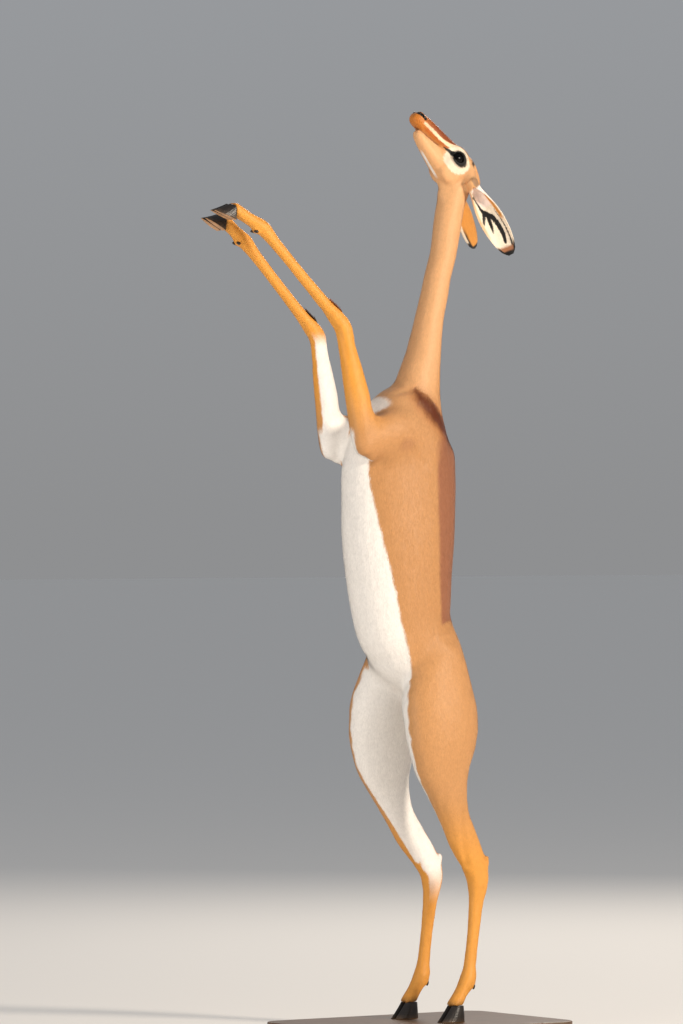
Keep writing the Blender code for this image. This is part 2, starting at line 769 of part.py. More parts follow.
LID_THICKNESS = 0.0022
FISSURE_HALF_LENGTH = 0.0152
FISSURE_HALF_HEIGHT = 0.0110


def lid_form(side):
    """Both lids and the rim round the eye, as one dome over the eyeball."""
    centre, gaze = eye_frame(side)
    along, _ = head_axes()
    long_way = (along - gaze * along.dot(gaze)).normalized()
    size = EYE_RADIUS + LID_THICKNESS
    return ellipsoid("lids", centre, (gaze, long_way, gaze.cross(long_way)), (size, size * 1.16, size * 1.06))


def lid_opening(side):
    """An almond-shaped cutter that opens the lids over the eye."""
    centre, gaze = eye_frame(side)
    along, _ = head_axes()
    long_way = (along - gaze * along.dot(gaze)).normalized()
    high_way = gaze.cross(long_way)
    count = 20
    rings = []
    for reach in (0.006, 0.030):
        for k in range(count):
            turn = 2 * math.pi * k / count
            x = FISSURE_HALF_LENGTH * math.cos(turn)
            y = FISSURE_HALF_HEIGHT * math.copysign(abs(math.sin(turn)) ** 1.25, math.sin(turn))
            rings.append(centre + gaze * reach + long_way * x + high_way * y)
    faces = [tuple(range(count)), tuple(range(2 * count - 1, count - 1, -1))]
    for k in range(count):
        after = (k + 1) % count
        faces.append((k, count + k, count + after, after))
    made = new_object("lid_opening", rings, faces)
    face_outwards(made)
    return made


def eyeball(name, side, radius, rings=9):
    """An eyeball, or the socket that it sits in."""
    centre, _ = eye_frame(side)
    axes = (Vector((1, 0, 0)), Vector((0, 1, 0)), Vector((0, 0, 1)))
    return ellipsoid(name, centre, axes, (radius, radius, radius), rings)


# The mouth's line on the head, as (distance from the muzzle's tip, height), and how wide it gapes
MOUTH_LINE = ((-0.0040, -0.0190), (0.0200, -0.0180), (0.0400, -0.0150), (0.0600, -0.0150), (0.0780, -0.0185))
MOUTH_GAPE = (0.0060, 0.0050, 0.0018, 0.0012, 0.0008)
MOUTH_HALF_WIDTH = 0.0400


def mouth_cutter():
    """A thin curved wedge that parts the lips from the front to the corners of the mouth."""
    points = []
    for y in (-MOUTH_HALF_WIDTH, MOUTH_HALF_WIDTH):
        for (distance, height), gape in zip(MOUTH_LINE, MOUTH_GAPE):
            points.append(head_point(distance, height + gape / 2, y))
        for (distance, height), gape in zip(reversed(MOUTH_LINE), reversed(MOUTH_GAPE)):
            points.append(head_point(distance, height - gape / 2, y))
    count = len(MOUTH_LINE) * 2
    faces = [tuple(range(count)), tuple(range(2 * count - 1, count - 1, -1))]
    for k in range(count):
        after = (k + 1) % count
        faces.append((k, after, count + after, count + k))
    made = new_object("mouth", points, faces)
    face_outwards(made)
    return made


def nostril_cutter(side):
    """A slanting slit-shaped pit at the side of the nose."""
    along, dorsal = head_axes()
    slant = (along * 0.92 + dorsal * 0.38).normalized()
    outward = Vector((0.0, side, 0.0)) - along * 0.35 + dorsal * 0.35
    outward = (outward - slant * outward.dot(slant)).normalized()
    centre = head_point(0.0125, 0.0110, 0.0165 * side)
    return ellipsoid("nostril", centre, (slant, outward, slant.cross(outward)), (0.0068, 0.0062, 0.0022), rings=8)


# A hoof's outline in four steps down its wall, as (share of height, heel, toe, half width)
HOOF_STEPS = ((0.00, -0.30, 0.22, 0.42), (0.30, -0.32, 0.36, 0.47), (0.65, -0.34, 0.54, 0.50), (1.00, -0.36, 0.74, 0.50))
HOOF_SIDES = 20
TOE_SPREAD = 0.0098


def hoof(name, top, ahead, down, height, sign, length):
    """One half of a cloven hoof: a steep wall in front, a low heel and a flat sole."""
    across = ahead.cross(down).normalized()
    middle = top + across * sign * TOE_SPREAD
    points = []
    for share, heel, toe, width in HOOF_STEPS:
        for k in range(HOOF_SIDES):
            turn = 2 * math.pi * k / HOOF_SIDES
            c, s = math.cos(turn), math.sin(turn)
            reach = length * ((toe + heel) / 2 + (toe - heel) / 2 * c)
            half = HOOF_WIDTH * width * (1.0 - 0.42 * max(0.0, c) ** 1.5)
            bend = -0.0022 * sign * max(0.0, c) ** 2
            points.append(middle + ahead * reach + across * (s * half + bend) + down * height * share)
    count = HOOF_SIDES
    faces = [tuple(range(count)), tuple(range(4 * count - 1, 3 * count - 1, -1))]
    for i in range(3):
        for k in range(count):
            after = (k + 1) % count
            faces.append((i * count + k, (i + 1) * count + k, (i + 1) * count + after, i * count + after))
    made = new_object(name, points, faces)
    face_outwards(made)
    made.data.materials.append(material("hoof"))
    return made


def turned(direction, degrees):
    """A direction turned about the animal's cross axis."""
    return (Matrix.Rotation(math.radians(degrees), 3, "Y") @ direction).normalized()


def hoof_frames():
    """Each foot's coronet, with the ways its toes and its soles point, and its height."""
    frames = {}
    for side in (LEFT, RIGHT):
        x, y, z = hind_sections(side)[-2][:3]
        frames["hind", side] = (Vector((x, y, z)), FORWARD, Vector((0, 0, -1)), z - GAP / 2 - FLOOR_Z)
        coronet, tip = (Vector(FORE_JOINTS[side][i]) for i in (3, 4))
        line = (tip - coronet).normalized()
        down, ahead = (turned(line, degrees) for degrees in (-FORE_SOLE_TURN, 90.0 - FORE_SOLE_TURN))
        frames["fore", side] = (coronet - down * 0.006, ahead, down, FORE_HOOF_HEIGHT)
    return frames


FORE_SOLE_TURN = 66.0
FORE_HOOF_HEIGHT = 0.028


def hooves():
    """All eight toes."""
    made = []
    for (leg, side), (top, ahead, down, height) in hoof_frames().items():
        for sign, place in ((-1, "a"), (1, "b")):
            name = f"hoof_{leg}_{SIDE_NAMES[side]}_{place}"
            length = FORE_HOOF_LENGTH if leg == "fore" else HOOF_LENGTH
            toe = hoof(name, top + down * GAP / 2, ahead, down, height, sign, length)
            if leg == "fore":
                coronet, tip = (Vector(FORE_JOINTS[side][i]) for i in (3, 4))
                halves(toe, coronet, tip - coronet, keep_above=True)
            made.append(toe)
    return made


TAIL_SECTIONS = (
    (0.040, 0.0, 0.822, 0.022, 0.020, 0.020),
    (0.066, 0.0, 0.806, 0.017, 0.016, 0.016),
    (0.088, 0.0, 0.780, 0.0125, 0.0115, 0.0130),
    (0.0995, 0.0, 0.745, 0.0100, 0.0095, 0.0110),
    (0.1060, 0.0, 0.700, 0.0085, 0.0080, 0.0095),
    (0.1080, 0.0, 0.650, 0.0070, 0.0068, 0.0080),
    (0.1065, 0.0, 0.600, 0.0055, 0.0055, 0.0065),
    (0.1040, 0.0, 0.572, 0.0035, 0.0035, 0.0040),
)
TAIL_CUT = 3
TUFT_LOCKS = 15
TUFT_TOP = 0.672
TUFT_FALL = 0.105


def lock(root, lie, outward, length, width, thickness, curl):
    """A flat tapered lock of hair that bends along its lie."""
    side = lie.cross(outward).normalized()
    rows = ((-0.10, 0.55), (0.20, 1.00), (0.55, 0.85), (0.82, 0.50), (1.00, 0.10))
    points = []
    for share, broad in rows:
        middle = root + lie * length * share + outward * (curl * share * (1.0 - 0.75 * share))
        half = width * broad / 2
        thick = thickness * (0.35 + 0.65 * broad) / 2
        points += [middle - side * half, middle + outward * thick, middle + side * half, middle - outward * thick]
    faces = [(3, 2, 1, 0)]
    last = 4 * (len(rows) - 1)
    faces.append((last, last + 1, last + 2, last + 3))
    for i in range(len(rows) - 1):
        for k in range(4):
            after = (k + 1) % 4
            faces.append((4 * i + k, 4 * i + after, 4 * i + 4 + after, 4 * i + 4 + k))
    made = new_object("lock", points, faces)
    face_outwards(made)
    return made


def tail_locks():
    """The tuft at the tail's end, lock over lock in rows."""
    rng = np.random.default_rng(7)
    rows = spline(TAIL_SECTIONS, 12)
    heights = rows[:, 2]
    made = []
    for i in range(TUFT_LOCKS):
        share = i / (TUFT_LOCKS - 1)
        z = TUFT_TOP - TUFT_FALL * share
        near = int(np.argmin(abs(heights - z)))
        x, y, _, front, back, side = rows[near]
        turn = i * 2.399963 + rng.uniform(-0.2, 0.2)
        outward = Vector((-math.cos(turn), math.sin(turn), 0.0))
        size = side * 0.55
        root = Vector((x, y, z)) + outward * size
        lie = (Vector((0.0, 0.0, -1.0)) + outward * 0.13).normalized()
        outward = (outward - lie * outward.dot(lie)).normalized()
        length = rng.uniform(0.056, 0.070)
        made.append(lock(root, lie, outward, length, 0.0150, 0.0042, 0.004))
    return made


def tail():
    """The free part of the tail with its tuft, cut flat where it meets the rump."""
    core = loft("tail", TAIL_SECTIONS[TAIL_CUT - 1 :], per_span=2)
    combine(core, tail_locks(), "UNION")
    at = Vector(TAIL_SECTIONS[TAIL_CUT][:3])
    above = Vector(TAIL_SECTIONS[TAIL_CUT - 1][:3])
    halves(core, at, at - above, keep_above=True)
    core.name = "tail"
    core.data.materials.append(material("coat"))
    return core


def dewclaw_forms():
    """The small false hooves behind each fetlock."""
    made = []
    for side in (LEFT, RIGHT):
        for leg, rows in (("hind", hind_sections(side)), ("fore", fore_sections(side))):
            index = -4
            fetlock, below = Vector(rows[index][:3]), Vector(rows[index + 1][:3])
            bone = (below - fetlock).normalized()
            rear = Vector((1.0, 0.0, 0.0)) if leg == "hind" else Vector((0.45, 0.0, -0.89))
            rear = (rear - bone * rear.dot(bone)).normalized()
            across = bone.cross(rear)
            point = (rear * 0.62 + bone * 0.78).normalized()
            for sign in (-1, 1):
                root = fetlock + bone * 0.008 + rear * (rows[index][4] - 0.003) + across * sign * 0.0075
                axes = (point, across, point.cross(across))
                made.append(ellipsoid("dewclaw", root, axes, (0.0105, 0.0050, 0.0055), rings=6))
    return made


def cut_list():
    """The thin plates that part the body, as (centre, normal, size)."""
    cuts = [
        (Vector((-0.0100, 0.0, 1.3580)), Vector((0.26, 0.0, 1.0)), 0.150),
        (Vector((-0.0550, 0.0, 1.1650)), Vector((0.0, 0.0, 1.0)), 0.330),
        (Vector((-0.0500, 0.0, 0.8800)), Vector((0.0, 0.0, 1.0)), 0.330),
    ]
    at, above = (Vector(TAIL_SECTIONS[i][:3]) for i in (TAIL_CUT, TAIL_CUT - 1))
    cuts.append((at, at - above, 0.040))
    for side in (LEFT, RIGHT):
        hind = [Vector(r[:3]) for r in hind_sections(side)]
        elbow, knee, fetlock, coronet = (Vector(j) for j in FORE_JOINTS[side][:4])
        lean = Vector((0.0, 0.56 * side, -0.83))
        cuts.append((Vector((-0.010, 0.102 * side, 0.742)), lean, 0.26))
        cuts.append((hind[11], Vector((0.0, 0.0, 1.0)), 0.090))
        cuts.append((hind[15].lerp(hind[16], 0.40), hind[15] - hind[16], 0.060))
        cuts.append((hind[-2], Vector((0.0, 0.0, 1.0)), 0.060))
        cuts.append((elbow.lerp(knee, 0.30), knee - elbow, 0.110))
        cuts.append((knee.lerp(fetlock, 0.02), (fetlock - knee).normalized() + (knee - elbow).normalized(), 0.070))
        cuts.append((knee.lerp(fetlock, 0.93), fetlock - knee, 0.050))
        cuts.append((coronet, Vector(FORE_JOINTS[side][4]) - coronet, 0.056))
    return cuts


def body_marks():
    """Where the middle of each node of the body lies, to name the parted pieces."""
    marks = {
        "neck": (0.03, 0.0, 1.530),
        "chest": (-0.060, 0.0, 1.250),
        "belly": (-0.055, 0.0, 1.020),
        "rump": (-0.015, 0.0, 0.800),
    }
    for side in (LEFT, RIGHT):
        word = SIDE_NAMES[side]
        hind = [Vector(r[:3]) for r in hind_sections(side)]
        elbow, knee, fetlock, coronet = (Vector(j) for j in FORE_JOINTS[side][:4])
        marks[f"hind_leg_{word}"] = hind[5]
        marks[f"hind_shank_{word}"] = hind[11].lerp(hind[16], 0.5)
        marks[f"hind_pastern_{word}"] = hind[17]
        marks[f"fore_leg_{word}"] = elbow.lerp(knee, 0.62)
        marks[f"fore_shank_{word}"] = knee.lerp(fetlock, 0.5)
        marks[f"fore_pastern_{word}"] = fetlock.lerp(coronet, 0.4)
    return marks


def body_nodes():
    """Parts the body's skin into its nodes."""
    skin = halves(body_skin(), *THROAT_CUT, keep_above=False)
    combine(skin, [slab(*cut) for cut in cut_list()], "DIFFERENCE")
    return named_pieces(skin, body_marks(), lambda name: "coat_leg" if "_" in name else "coat")


def head_node():
    """The head, with its sockets, lids, nostrils and mouth."""
    skin = halves(head_skin(), *THROAT_CUT, keep_above=True)
    cutters = [mouth_cutter()]
    for side in (LEFT, RIGHT):
        cutters += [ear_stem_trim(side), ear_clearance(side)]
    for side in (LEFT, RIGHT):
        cutters += [eyeball("socket", side, EYE_RADIUS + GAP), lid_opening(side), nostril_cutter(side)]
    combine(skin, cutters, "DIFFERENCE")
    return named_pieces(skin, {"head": (0.08, 0.0, 1.82)}, lambda name: "coat_head")


def eyes():
    """Both eyeballs."""
    for side in (LEFT, RIGHT):
        made = eyeball(f"eye_{SIDE_NAMES[side]}", side, EYE_RADIUS)
        made.data.materials.append(material("eye"))
        made.data.shade_smooth()


def ears():
    """Both ears."""
    for side in (LEFT, RIGHT):
        made = ear(side)
        made.data.materials.append(material("ear_skin"))
        made.data.shade_smooth()


def stand():
    """A flat plate with round corners and a small bevel."""
    bm = bmesh.new()
    rim = []
    half = (BASE_LENGTH / 2 - BASE_CORNER, BASE_WIDTH / 2 - BASE_CORNER)
    for quarter, (sx, sy) in enumerate(((1, 1), (-1, 1), (-1, -1), (1, -1))):
        for step in range(9):
            turn = math.pi / 2 * (quarter + step / 8)
            x = BASE_CENTRE_X + sx * half[0] + BASE_CORNER * math.cos(turn)
            y = sy * half[1] + BASE_CORNER * math.sin(turn)
            rim.append(bm.verts.new((x, y, 0.0)))
    face = bm.faces.new(rim)
    raised = bmesh.ops.extrude_face_region(bm, geom=[face])
    top = [v for v in raised["geom"] if isinstance(v, bmesh.types.BMVert)]
    bmesh.ops.translate(bm, verts=top, vec=(0.0, 0.0, BASE_THICKNESS))
    lip = [e for e in bm.edges if e.is_valid and all(v.co.z > BASE_THICKNESS - 1e-6 for v in e.verts)]
    bmesh.ops.bevel(bm, geom=lip, offset=BASE_BEVEL, segments=2, affect="EDGES", profile=0.5)
    mesh = bpy.data.meshes.new("stand_base")
    bm.to_mesh(mesh)
    bm.free()
    made = bpy.data.objects.new("stand_base", mesh)
    bpy.context.scene.collection.objects.link(made)
    face_outwards(made)
    made.data.materials.append(material("stand"))
    return made


def build():
    """Builds every node."""
    clear_scene()
    body_nodes()
    head_node()
    ears()
    eyes()
    hooves()
    tail()
    stand()


if __name__ == "__main__":
    build()
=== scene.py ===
"""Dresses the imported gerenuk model: one skin, a short glossy coat, eyes, hooves, stand and studio.

The animal is a hornless female that stands upright on its hind legs. All sizes are in metres, in
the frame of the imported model: +Z up, the animal faces -X, and its left side is -Y.
"""

import logging
import math
from dataclasses import dataclass
from enum import Enum, auto

import bmesh
import bpy
import numpy as np
from mathutils import Matrix, Vector
from mathutils.bvhtree import BVHTree


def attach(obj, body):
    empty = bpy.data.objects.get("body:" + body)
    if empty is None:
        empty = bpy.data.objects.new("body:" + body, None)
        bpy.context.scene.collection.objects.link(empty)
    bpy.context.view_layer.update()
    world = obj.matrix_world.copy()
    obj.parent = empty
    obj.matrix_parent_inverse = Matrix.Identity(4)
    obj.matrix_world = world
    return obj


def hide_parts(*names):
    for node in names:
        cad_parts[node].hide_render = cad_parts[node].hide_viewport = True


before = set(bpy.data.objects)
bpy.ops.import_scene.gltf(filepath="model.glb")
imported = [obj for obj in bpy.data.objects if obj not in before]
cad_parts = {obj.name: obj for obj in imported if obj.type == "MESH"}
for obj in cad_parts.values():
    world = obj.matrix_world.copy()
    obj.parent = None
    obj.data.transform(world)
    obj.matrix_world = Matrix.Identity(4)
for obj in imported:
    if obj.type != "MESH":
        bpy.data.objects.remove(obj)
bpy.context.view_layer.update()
log = logging.getLogger("gerenuk")

LEFT, RIGHT = -1, 1
SIDE_NAMES = {LEFT: "left", RIGHT: "right"}


class Zone(Enum):
    """The parts of the hide, each with its own lie, depth and markings."""

    TRUNK = auto()
    NECK = auto()
    HEAD = auto()
    EAR = auto()
    HIND = auto()
    FORE = auto()
    TAIL = auto()


def linear(colour: str) -> np.ndarray:
    """Turns an sRGB hex colour into linear values.

    Args:
        colour: Six hex digits, such as "c08040".

    Returns:
        Three linear values from 0 to 1.
    """
    parts = np.array([int(colour[i:i + 2], 16) / 255.0 for i in (0, 2, 4)])
    return np.where(parts <= 0.04045, parts / 12.92, ((parts + 0.055) / 1.055) ** 2.4)


def rgba(colour: str) -> tuple:
    """Gives a node socket's four values for an sRGB hex colour."""
    return (*[float(v) for v in linear(colour)], 1.0)


def step(low: float, high: float, values: np.ndarray) -> np.ndarray:
    """Rises smoothly from 0 at low to 1 at high, or falls where low is the larger.

    Args:
        low: Where the step starts.
        high: Where it ends.
        values: Where it is read.

    Returns:
        Values from 0 to 1.
    """
    t = np.clip((values - low) / (high - low), 0.0, 1.0)
    return t * t * (3.0 - 2.0 * t)


def mix(below: np.ndarray, above: np.ndarray, share: np.ndarray) -> np.ndarray:
    """Lays one colour over another by a share for each point."""
    return below + (above - below) * share[:, None]


def bell(gap: np.ndarray, width: float) -> np.ndarray:
    """Falls smoothly from 1 at no gap to near 0 at two widths."""
    return np.exp(-((gap / width) ** 2))


def unit(vectors: np.ndarray) -> np.ndarray:
    """Scales each row to length one."""
    return vectors / np.maximum(np.linalg.norm(vectors, axis=-1, keepdims=True), 1e-12)


def ripple(points: np.ndarray, size: float) -> np.ndarray:
    """Gives a smooth uneven wave from -1 to 1, for ragged borders of markings.

    Args:
        points: Places in metres.
        size: Rough distance between crests.

    Returns:
        One value for each point.
    """
    x, y, z = (points * (2.0 * math.pi / size)).T
    wave = np.sin(x + 1.7 * np.sin(0.7 * z)) + np.sin(1.3 * z + 2.1 * np.sin(0.8 * y))
    return (wave + np.sin(0.9 * y - 1.1 * x + 0.6 * z)) / 3.0


def near_line(points: np.ndarray, line: tuple) -> tuple:
    """Measures how far points lie from a line of a few corners, flat or in space.

    Args:
        points: One row for each point.
        line: The corners, with as many values as a point has.

    Returns:
        The distance of each point, and the share of the way along the line.
    """
    corners = np.array(line, float)
    best = np.full(len(points), 1e9)
    share = np.zeros(len(points))
    for i, (a, b) in enumerate(zip(corners, corners[1:])):
        span = b - a
        t = np.clip((points - a) @ span / (span @ span), 0.0, 1.0)
        gap = np.linalg.norm(points - a - t[:, None] * span, axis=1)
        closer = gap < best
        best = np.where(closer, gap, best)
        share = np.where(closer, (i + t) / (len(corners) - 1), share)
    return best, share


def streak(flat: np.ndarray, line: tuple, soft: float) -> np.ndarray:
    """Gives how far a painted streak covers flat places.

    Args:
        flat: Places as two coordinates in metres.
        line: Corners as two coordinates and the streak's half width there.
        soft: Width of its blurred border.

    Returns:
        Values from 0 outside to 1 inside.
    """
    corners = np.array(line, float)
    gap, share = near_line(flat, corners[:, :2])
    half = np.interp(share, np.linspace(0.0, 1.0, len(corners)), corners[:, 2])
    return 1.0 - step(0.0, 1.0, (gap - half) / soft + 0.5)


@dataclass(frozen=True)
class HeadFrame:
    """The head's own directions: back along it from the muzzle's tip, up from it, and sideways."""

    poll: tuple = (0.1528, 0.0, 1.7826)
    length: float = 0.2215
    pitch: float = math.radians(38.5)

    @property
    def along(self) -> np.ndarray:
        """The way from muzzle to poll."""
        return np.array([math.cos(self.pitch), 0.0, -math.sin(self.pitch)])

    @property
    def dorsal(self) -> np.ndarray:
        """The way up from the head's line."""
        return np.array([math.sin(self.pitch), 0.0, math.cos(self.pitch)])

    @property
    def muzzle(self) -> np.ndarray:
        """The muzzle's tip."""
        return np.array(self.poll) - self.along * self.length

    def place(self, along: float, up: float, side: float = 0.0) -> np.ndarray:
        """Turns the head's own sizes into a place in the model's frame."""
        return self.muzzle + self.along * along + self.dorsal * up + np.array([0.0, side, 0.0])

    def measure(self, points: np.ndarray) -> tuple:
        """Turns places into the head's own sizes.

        Args:
            points: Places in metres.

        Returns:
            Distance back from the muzzle, height, and distance from the middle plane.
        """
        away = points - self.muzzle
        return away @ self.along, away @ self.dorsal, np.abs(points[:, 1])


HEAD = HeadFrame()


@dataclass(frozen=True)
class EarFrame:
    """One ear's root, direction, opening and outline."""

    side: int
    reach: tuple
    mouth: tuple
    length: float = 0.166
    rows: tuple = (
        (0.00, 0.0118, 0.0120), (0.08, 0.0130, 0.0135), (0.17, 0.0165, 0.0140), (0.32, 0.0222, 0.0130),
        (0.46, 0.0252, 0.0120), (0.62, 0.0250, 0.0105), (0.76, 0.0224, 0.0088), (0.87, 0.0180, 0.0066),
        (0.95, 0.0122, 0.0042), (1.00, 0.0046, 0.0015),
    )

    @property
    def root(self) -> np.ndarray:
        """Where the cup begins."""
        return HEAD.place(0.1930, -0.0335, 0.0380 * self.side)

    @property
    def along(self) -> np.ndarray:
        """The way from root to tip."""
        return unit(np.array(self.reach))

    @property
    def opening(self) -> np.ndarray:
        """The way the cup opens."""
        raw = np.array(self.mouth)
        return unit(raw - self.along * (raw @ self.along))

    @property
    def across(self) -> np.ndarray:
        """The way across the cup, towards its front edge."""
        return unit(np.cross(self.along, self.opening)) * -self.side

    def half_width(self, share: np.ndarray) -> np.ndarray:
        """The outline's half width at a share of the length."""
        table = np.array(self.rows)
        return np.interp(share, table[:, 0], table[:, 1])

    def measure(self, points: np.ndarray) -> tuple:
        """Turns places into the ear's own sizes.

        Args:
            points: Places in metres.

        Returns:
            Share of the length, share of the half width, and height towards the opening.
        """
        away = points - self.root
        share = away @ self.along / self.length
        return share, away @ self.across / self.half_width(share), away @ self.opening

    def flat(self, share: np.ndarray, part: np.ndarray) -> np.ndarray:
        """Turns shares of the length and half width into metres."""
        return np.stack([share * self.length, part * self.half_width(share)], axis=-1)


EARS = {
    LEFT: EarFrame(LEFT, (0.476, -0.180, -0.860), (-0.580, -0.800, -0.150)),
    RIGHT: EarFrame(RIGHT, (0.601, 0.319, -0.732), (-0.150, 0.970, -0.150)),
}


@dataclass(frozen=True)
class Bone:
    """A straight stretch of the body that hair follows, from its front end to its hind end."""

    zone: Zone
    side: int
    start: tuple
    end: tuple
    radius: float


HEAD_LINE = ((0.0, -0.010), (0.110, -0.014), (0.205, -0.026))
HEAD_RADII = (0.026, 0.040)
NECK_LINE = (
    (0.118, 1.790), (0.098, 1.782), (0.083, 1.745), (0.0673, 1.6706), (0.0461, 1.5866),
    (0.0256, 1.5026), (0.0085, 1.4186), (-0.009, 1.345),
)
TRUNK_LINE = (
    (-0.009, 1.345), (-0.034, 1.288), (-0.0545, 1.177), (-0.0564, 1.030), (-0.050, 0.905), (-0.022, 0.790),
)
HIND_LINE = (
    (0.008, -0.050, 0.800), (-0.001, -0.067, 0.700), (-0.002, -0.081, 0.610), (0.0125, -0.081, 0.505),
    (0.0531, -0.075, 0.4106), (0.088, -0.072, 0.3476), (0.097, -0.071, 0.300), (0.085, -0.072, 0.200),
    (0.0715, -0.072, 0.112), (0.037, -0.072, 0.056), (0.010, -0.072, 0.022),
)
HIND_RADII = (0.075, 0.060, 0.048, 0.036, 0.026, 0.016, 0.012, 0.010, 0.012, 0.011)
LEAD = (0.033, 0.0164)
FORE_LINES = {
    LEFT: (
        (-0.100, -0.052, 1.270), (-0.181, -0.066, 1.226), (-0.233, -0.050, 1.474), (-0.410, -0.011, 1.6765),
        (-0.479, -0.006, 1.7135), (-0.532, -0.003, 1.7113),
    ),
    RIGHT: (
        (-0.100, 0.052, 1.265), (-0.174, 0.066, 1.220), (-0.229, 0.050, 1.456), (-0.408, 0.058, 1.651),
        (-0.461, 0.058, 1.6937), (-0.523, 0.058, 1.6993),
    ),
}
FORE_RADII = (0.030, 0.026, 0.013, 0.011, 0.010)
TAIL_LINE = (
    (0.040, 0.822), (0.066, 0.806), (0.088, 0.780), (0.0995, 0.745), (0.106, 0.700), (0.108, 0.650),
    (0.1065, 0.600), (0.104, 0.560),
)


def hind_point(side: int, point: tuple) -> tuple:
    """Gives a point of either hind leg from the left leg's point; the right leg stands further ahead."""
    x, y, z = point
    if side == LEFT:
        return point
    ahead = LEAD[1] + (LEAD[0] - LEAD[1]) * min(1.0, max(0.0, (z - 0.34) / 0.10))
    return (x - ahead, -y, z)


def body_bones() -> list:
    """Lists every stretch of the body, in the order of its hair.

    Returns:
        Bones of the head, neck, trunk, limbs, ears and tail.
    """
    head = [tuple(HEAD.place(*at)) for at in HEAD_LINE]
    bones = [Bone(Zone.HEAD, 0, a, b, radius) for a, b, radius in zip(head, head[1:], HEAD_RADII)]
    for line, zone, radius in ((NECK_LINE, Zone.NECK, 0.040), (TRUNK_LINE, Zone.TRUNK, 0.095)):
        for a, b in zip(line, line[1:]):
            bones.append(Bone(zone, 0, (a[0], 0.0, a[1]), (b[0], 0.0, b[1]), radius))
    for side in (LEFT, RIGHT):
        points = [hind_point(side, p) for p in HIND_LINE]
        for a, b, radius in zip(points, points[1:], HIND_RADII):
            bones.append(Bone(Zone.HIND, side, a, b, radius))
        for a, b, radius in zip(FORE_LINES[side], FORE_LINES[side][1:], FORE_RADII):
            bones.append(Bone(Zone.FORE, side, a, b, radius))
        ear = EARS[side]
        bones.append(Bone(Zone.EAR, side, tuple(ear.root), tuple(ear.root + ear.along * ear.length), 0.014))
    for a, b in zip(TAIL_LINE, TAIL_LINE[1:]):
        bones.append(Bone(Zone.TAIL, 0, (a[0], 0.0, a[1]), (b[0], 0.0, b[1]), 0.010))
    return bones


class BodyMap:
    """Says for any place which zone it is in and which way its hair lies."""

    def __init__(self, bones: list) -> None:
        """Keeps the bones as arrays."""
        self.bones = bones
        self.start = np.array([b.start for b in bones])
        self.end = np.array([b.end for b in bones])
        self.radius = np.array([b.radius for b in bones])
        self.zone = np.array([b.zone.value for b in bones])
        self.side = np.array([b.side for b in bones])
        self.way = unit(self.end - self.start)

    def read(self, points: np.ndarray) -> tuple:
        """Finds each place's bone and hair direction.

        Args:
            points: Places in metres.

        Returns:
            The zone values, the sides, and the hair directions.
        """
        span = self.end - self.start
        away = points[:, None, :] - self.start
        t = np.clip((away * span).sum(2) / (span * span).sum(1), 0.0, 1.0)
        gap = np.linalg.norm(away - t[:, :, None] * span, axis=2)
        nearest = (gap - self.radius).argmin(1)
        pull = 1.0 / (np.maximum(gap / self.radius, 0.3) ** 6)
        way = unit(pull @ self.way)
        return self.zone[nearest], self.side[nearest], way


MAP = BodyMap(body_bones())
ZONES = {zone.value: zone for zone in Zone}


def zone_of(points: np.ndarray, normals: np.ndarray) -> tuple:
    """Reads the body map in batches, and corrects the borders that bones alone get wrong.

    Args:
        points: Places on the hide.
        normals: The hide's directions there.

    Returns:
        Zone values, sides, and hair directions.
    """
    zones, sides, ways = [], [], []
    for i in range(0, len(points), 40000):
        zone, side, way = MAP.read(points[i:i + 40000])
        zones.append(zone)
        sides.append(side)
        ways.append(way)
    zone, side, way = np.concatenate(zones), np.concatenate(sides), np.concatenate(ways)
    for which, ear in EARS.items():
        u, v, lift = ear.measure(points)
        cup = (u > 0.0) & (u < 1.1) & (np.abs(v) < 1.15) & (np.abs(lift) < 0.017)
        zone = np.where(cup, Zone.EAR.value, zone)
        side = np.where(cup, which, side)
    side = np.where(side == 0, np.sign(points[:, 1] + 1e-9), side).astype(int)
    return zone, side, way


@dataclass(frozen=True)
class Palette:
    """The coat's colours in sunlight, as sRGB."""

    flank: str = "c08b58"
    saddle: str = "9a6446"
    withers: str = "582000"
    withers_edge: str = "a45816"
    neck: str = "dba876"
    nape: str = "dca064"
    leg: str = "e09a3e"
    thigh: str = "ca945f"
    belly: str = "f1ece6"
    cheek: str = "e0ab78"
    bridge: str = "8c4418"
    rufous: str = "b4601f"
    lip: str = "bf7229"
    muzzle_band: str = "b8763c"
    stripe: str = "f2d8b4"
    ring: str = "f0e0c8"
    crown: str = "261d17"
    dusk: str = "6d5744"
    bare_black: str = "0c0a09"
    ear_back: str = "cf8c3e"
    ear_white: str = "f0e2cc"
    ear_pink: str = "f6e4da"
    tail_tuft: str = "17100c"
    tail_root: str = "9a6644"


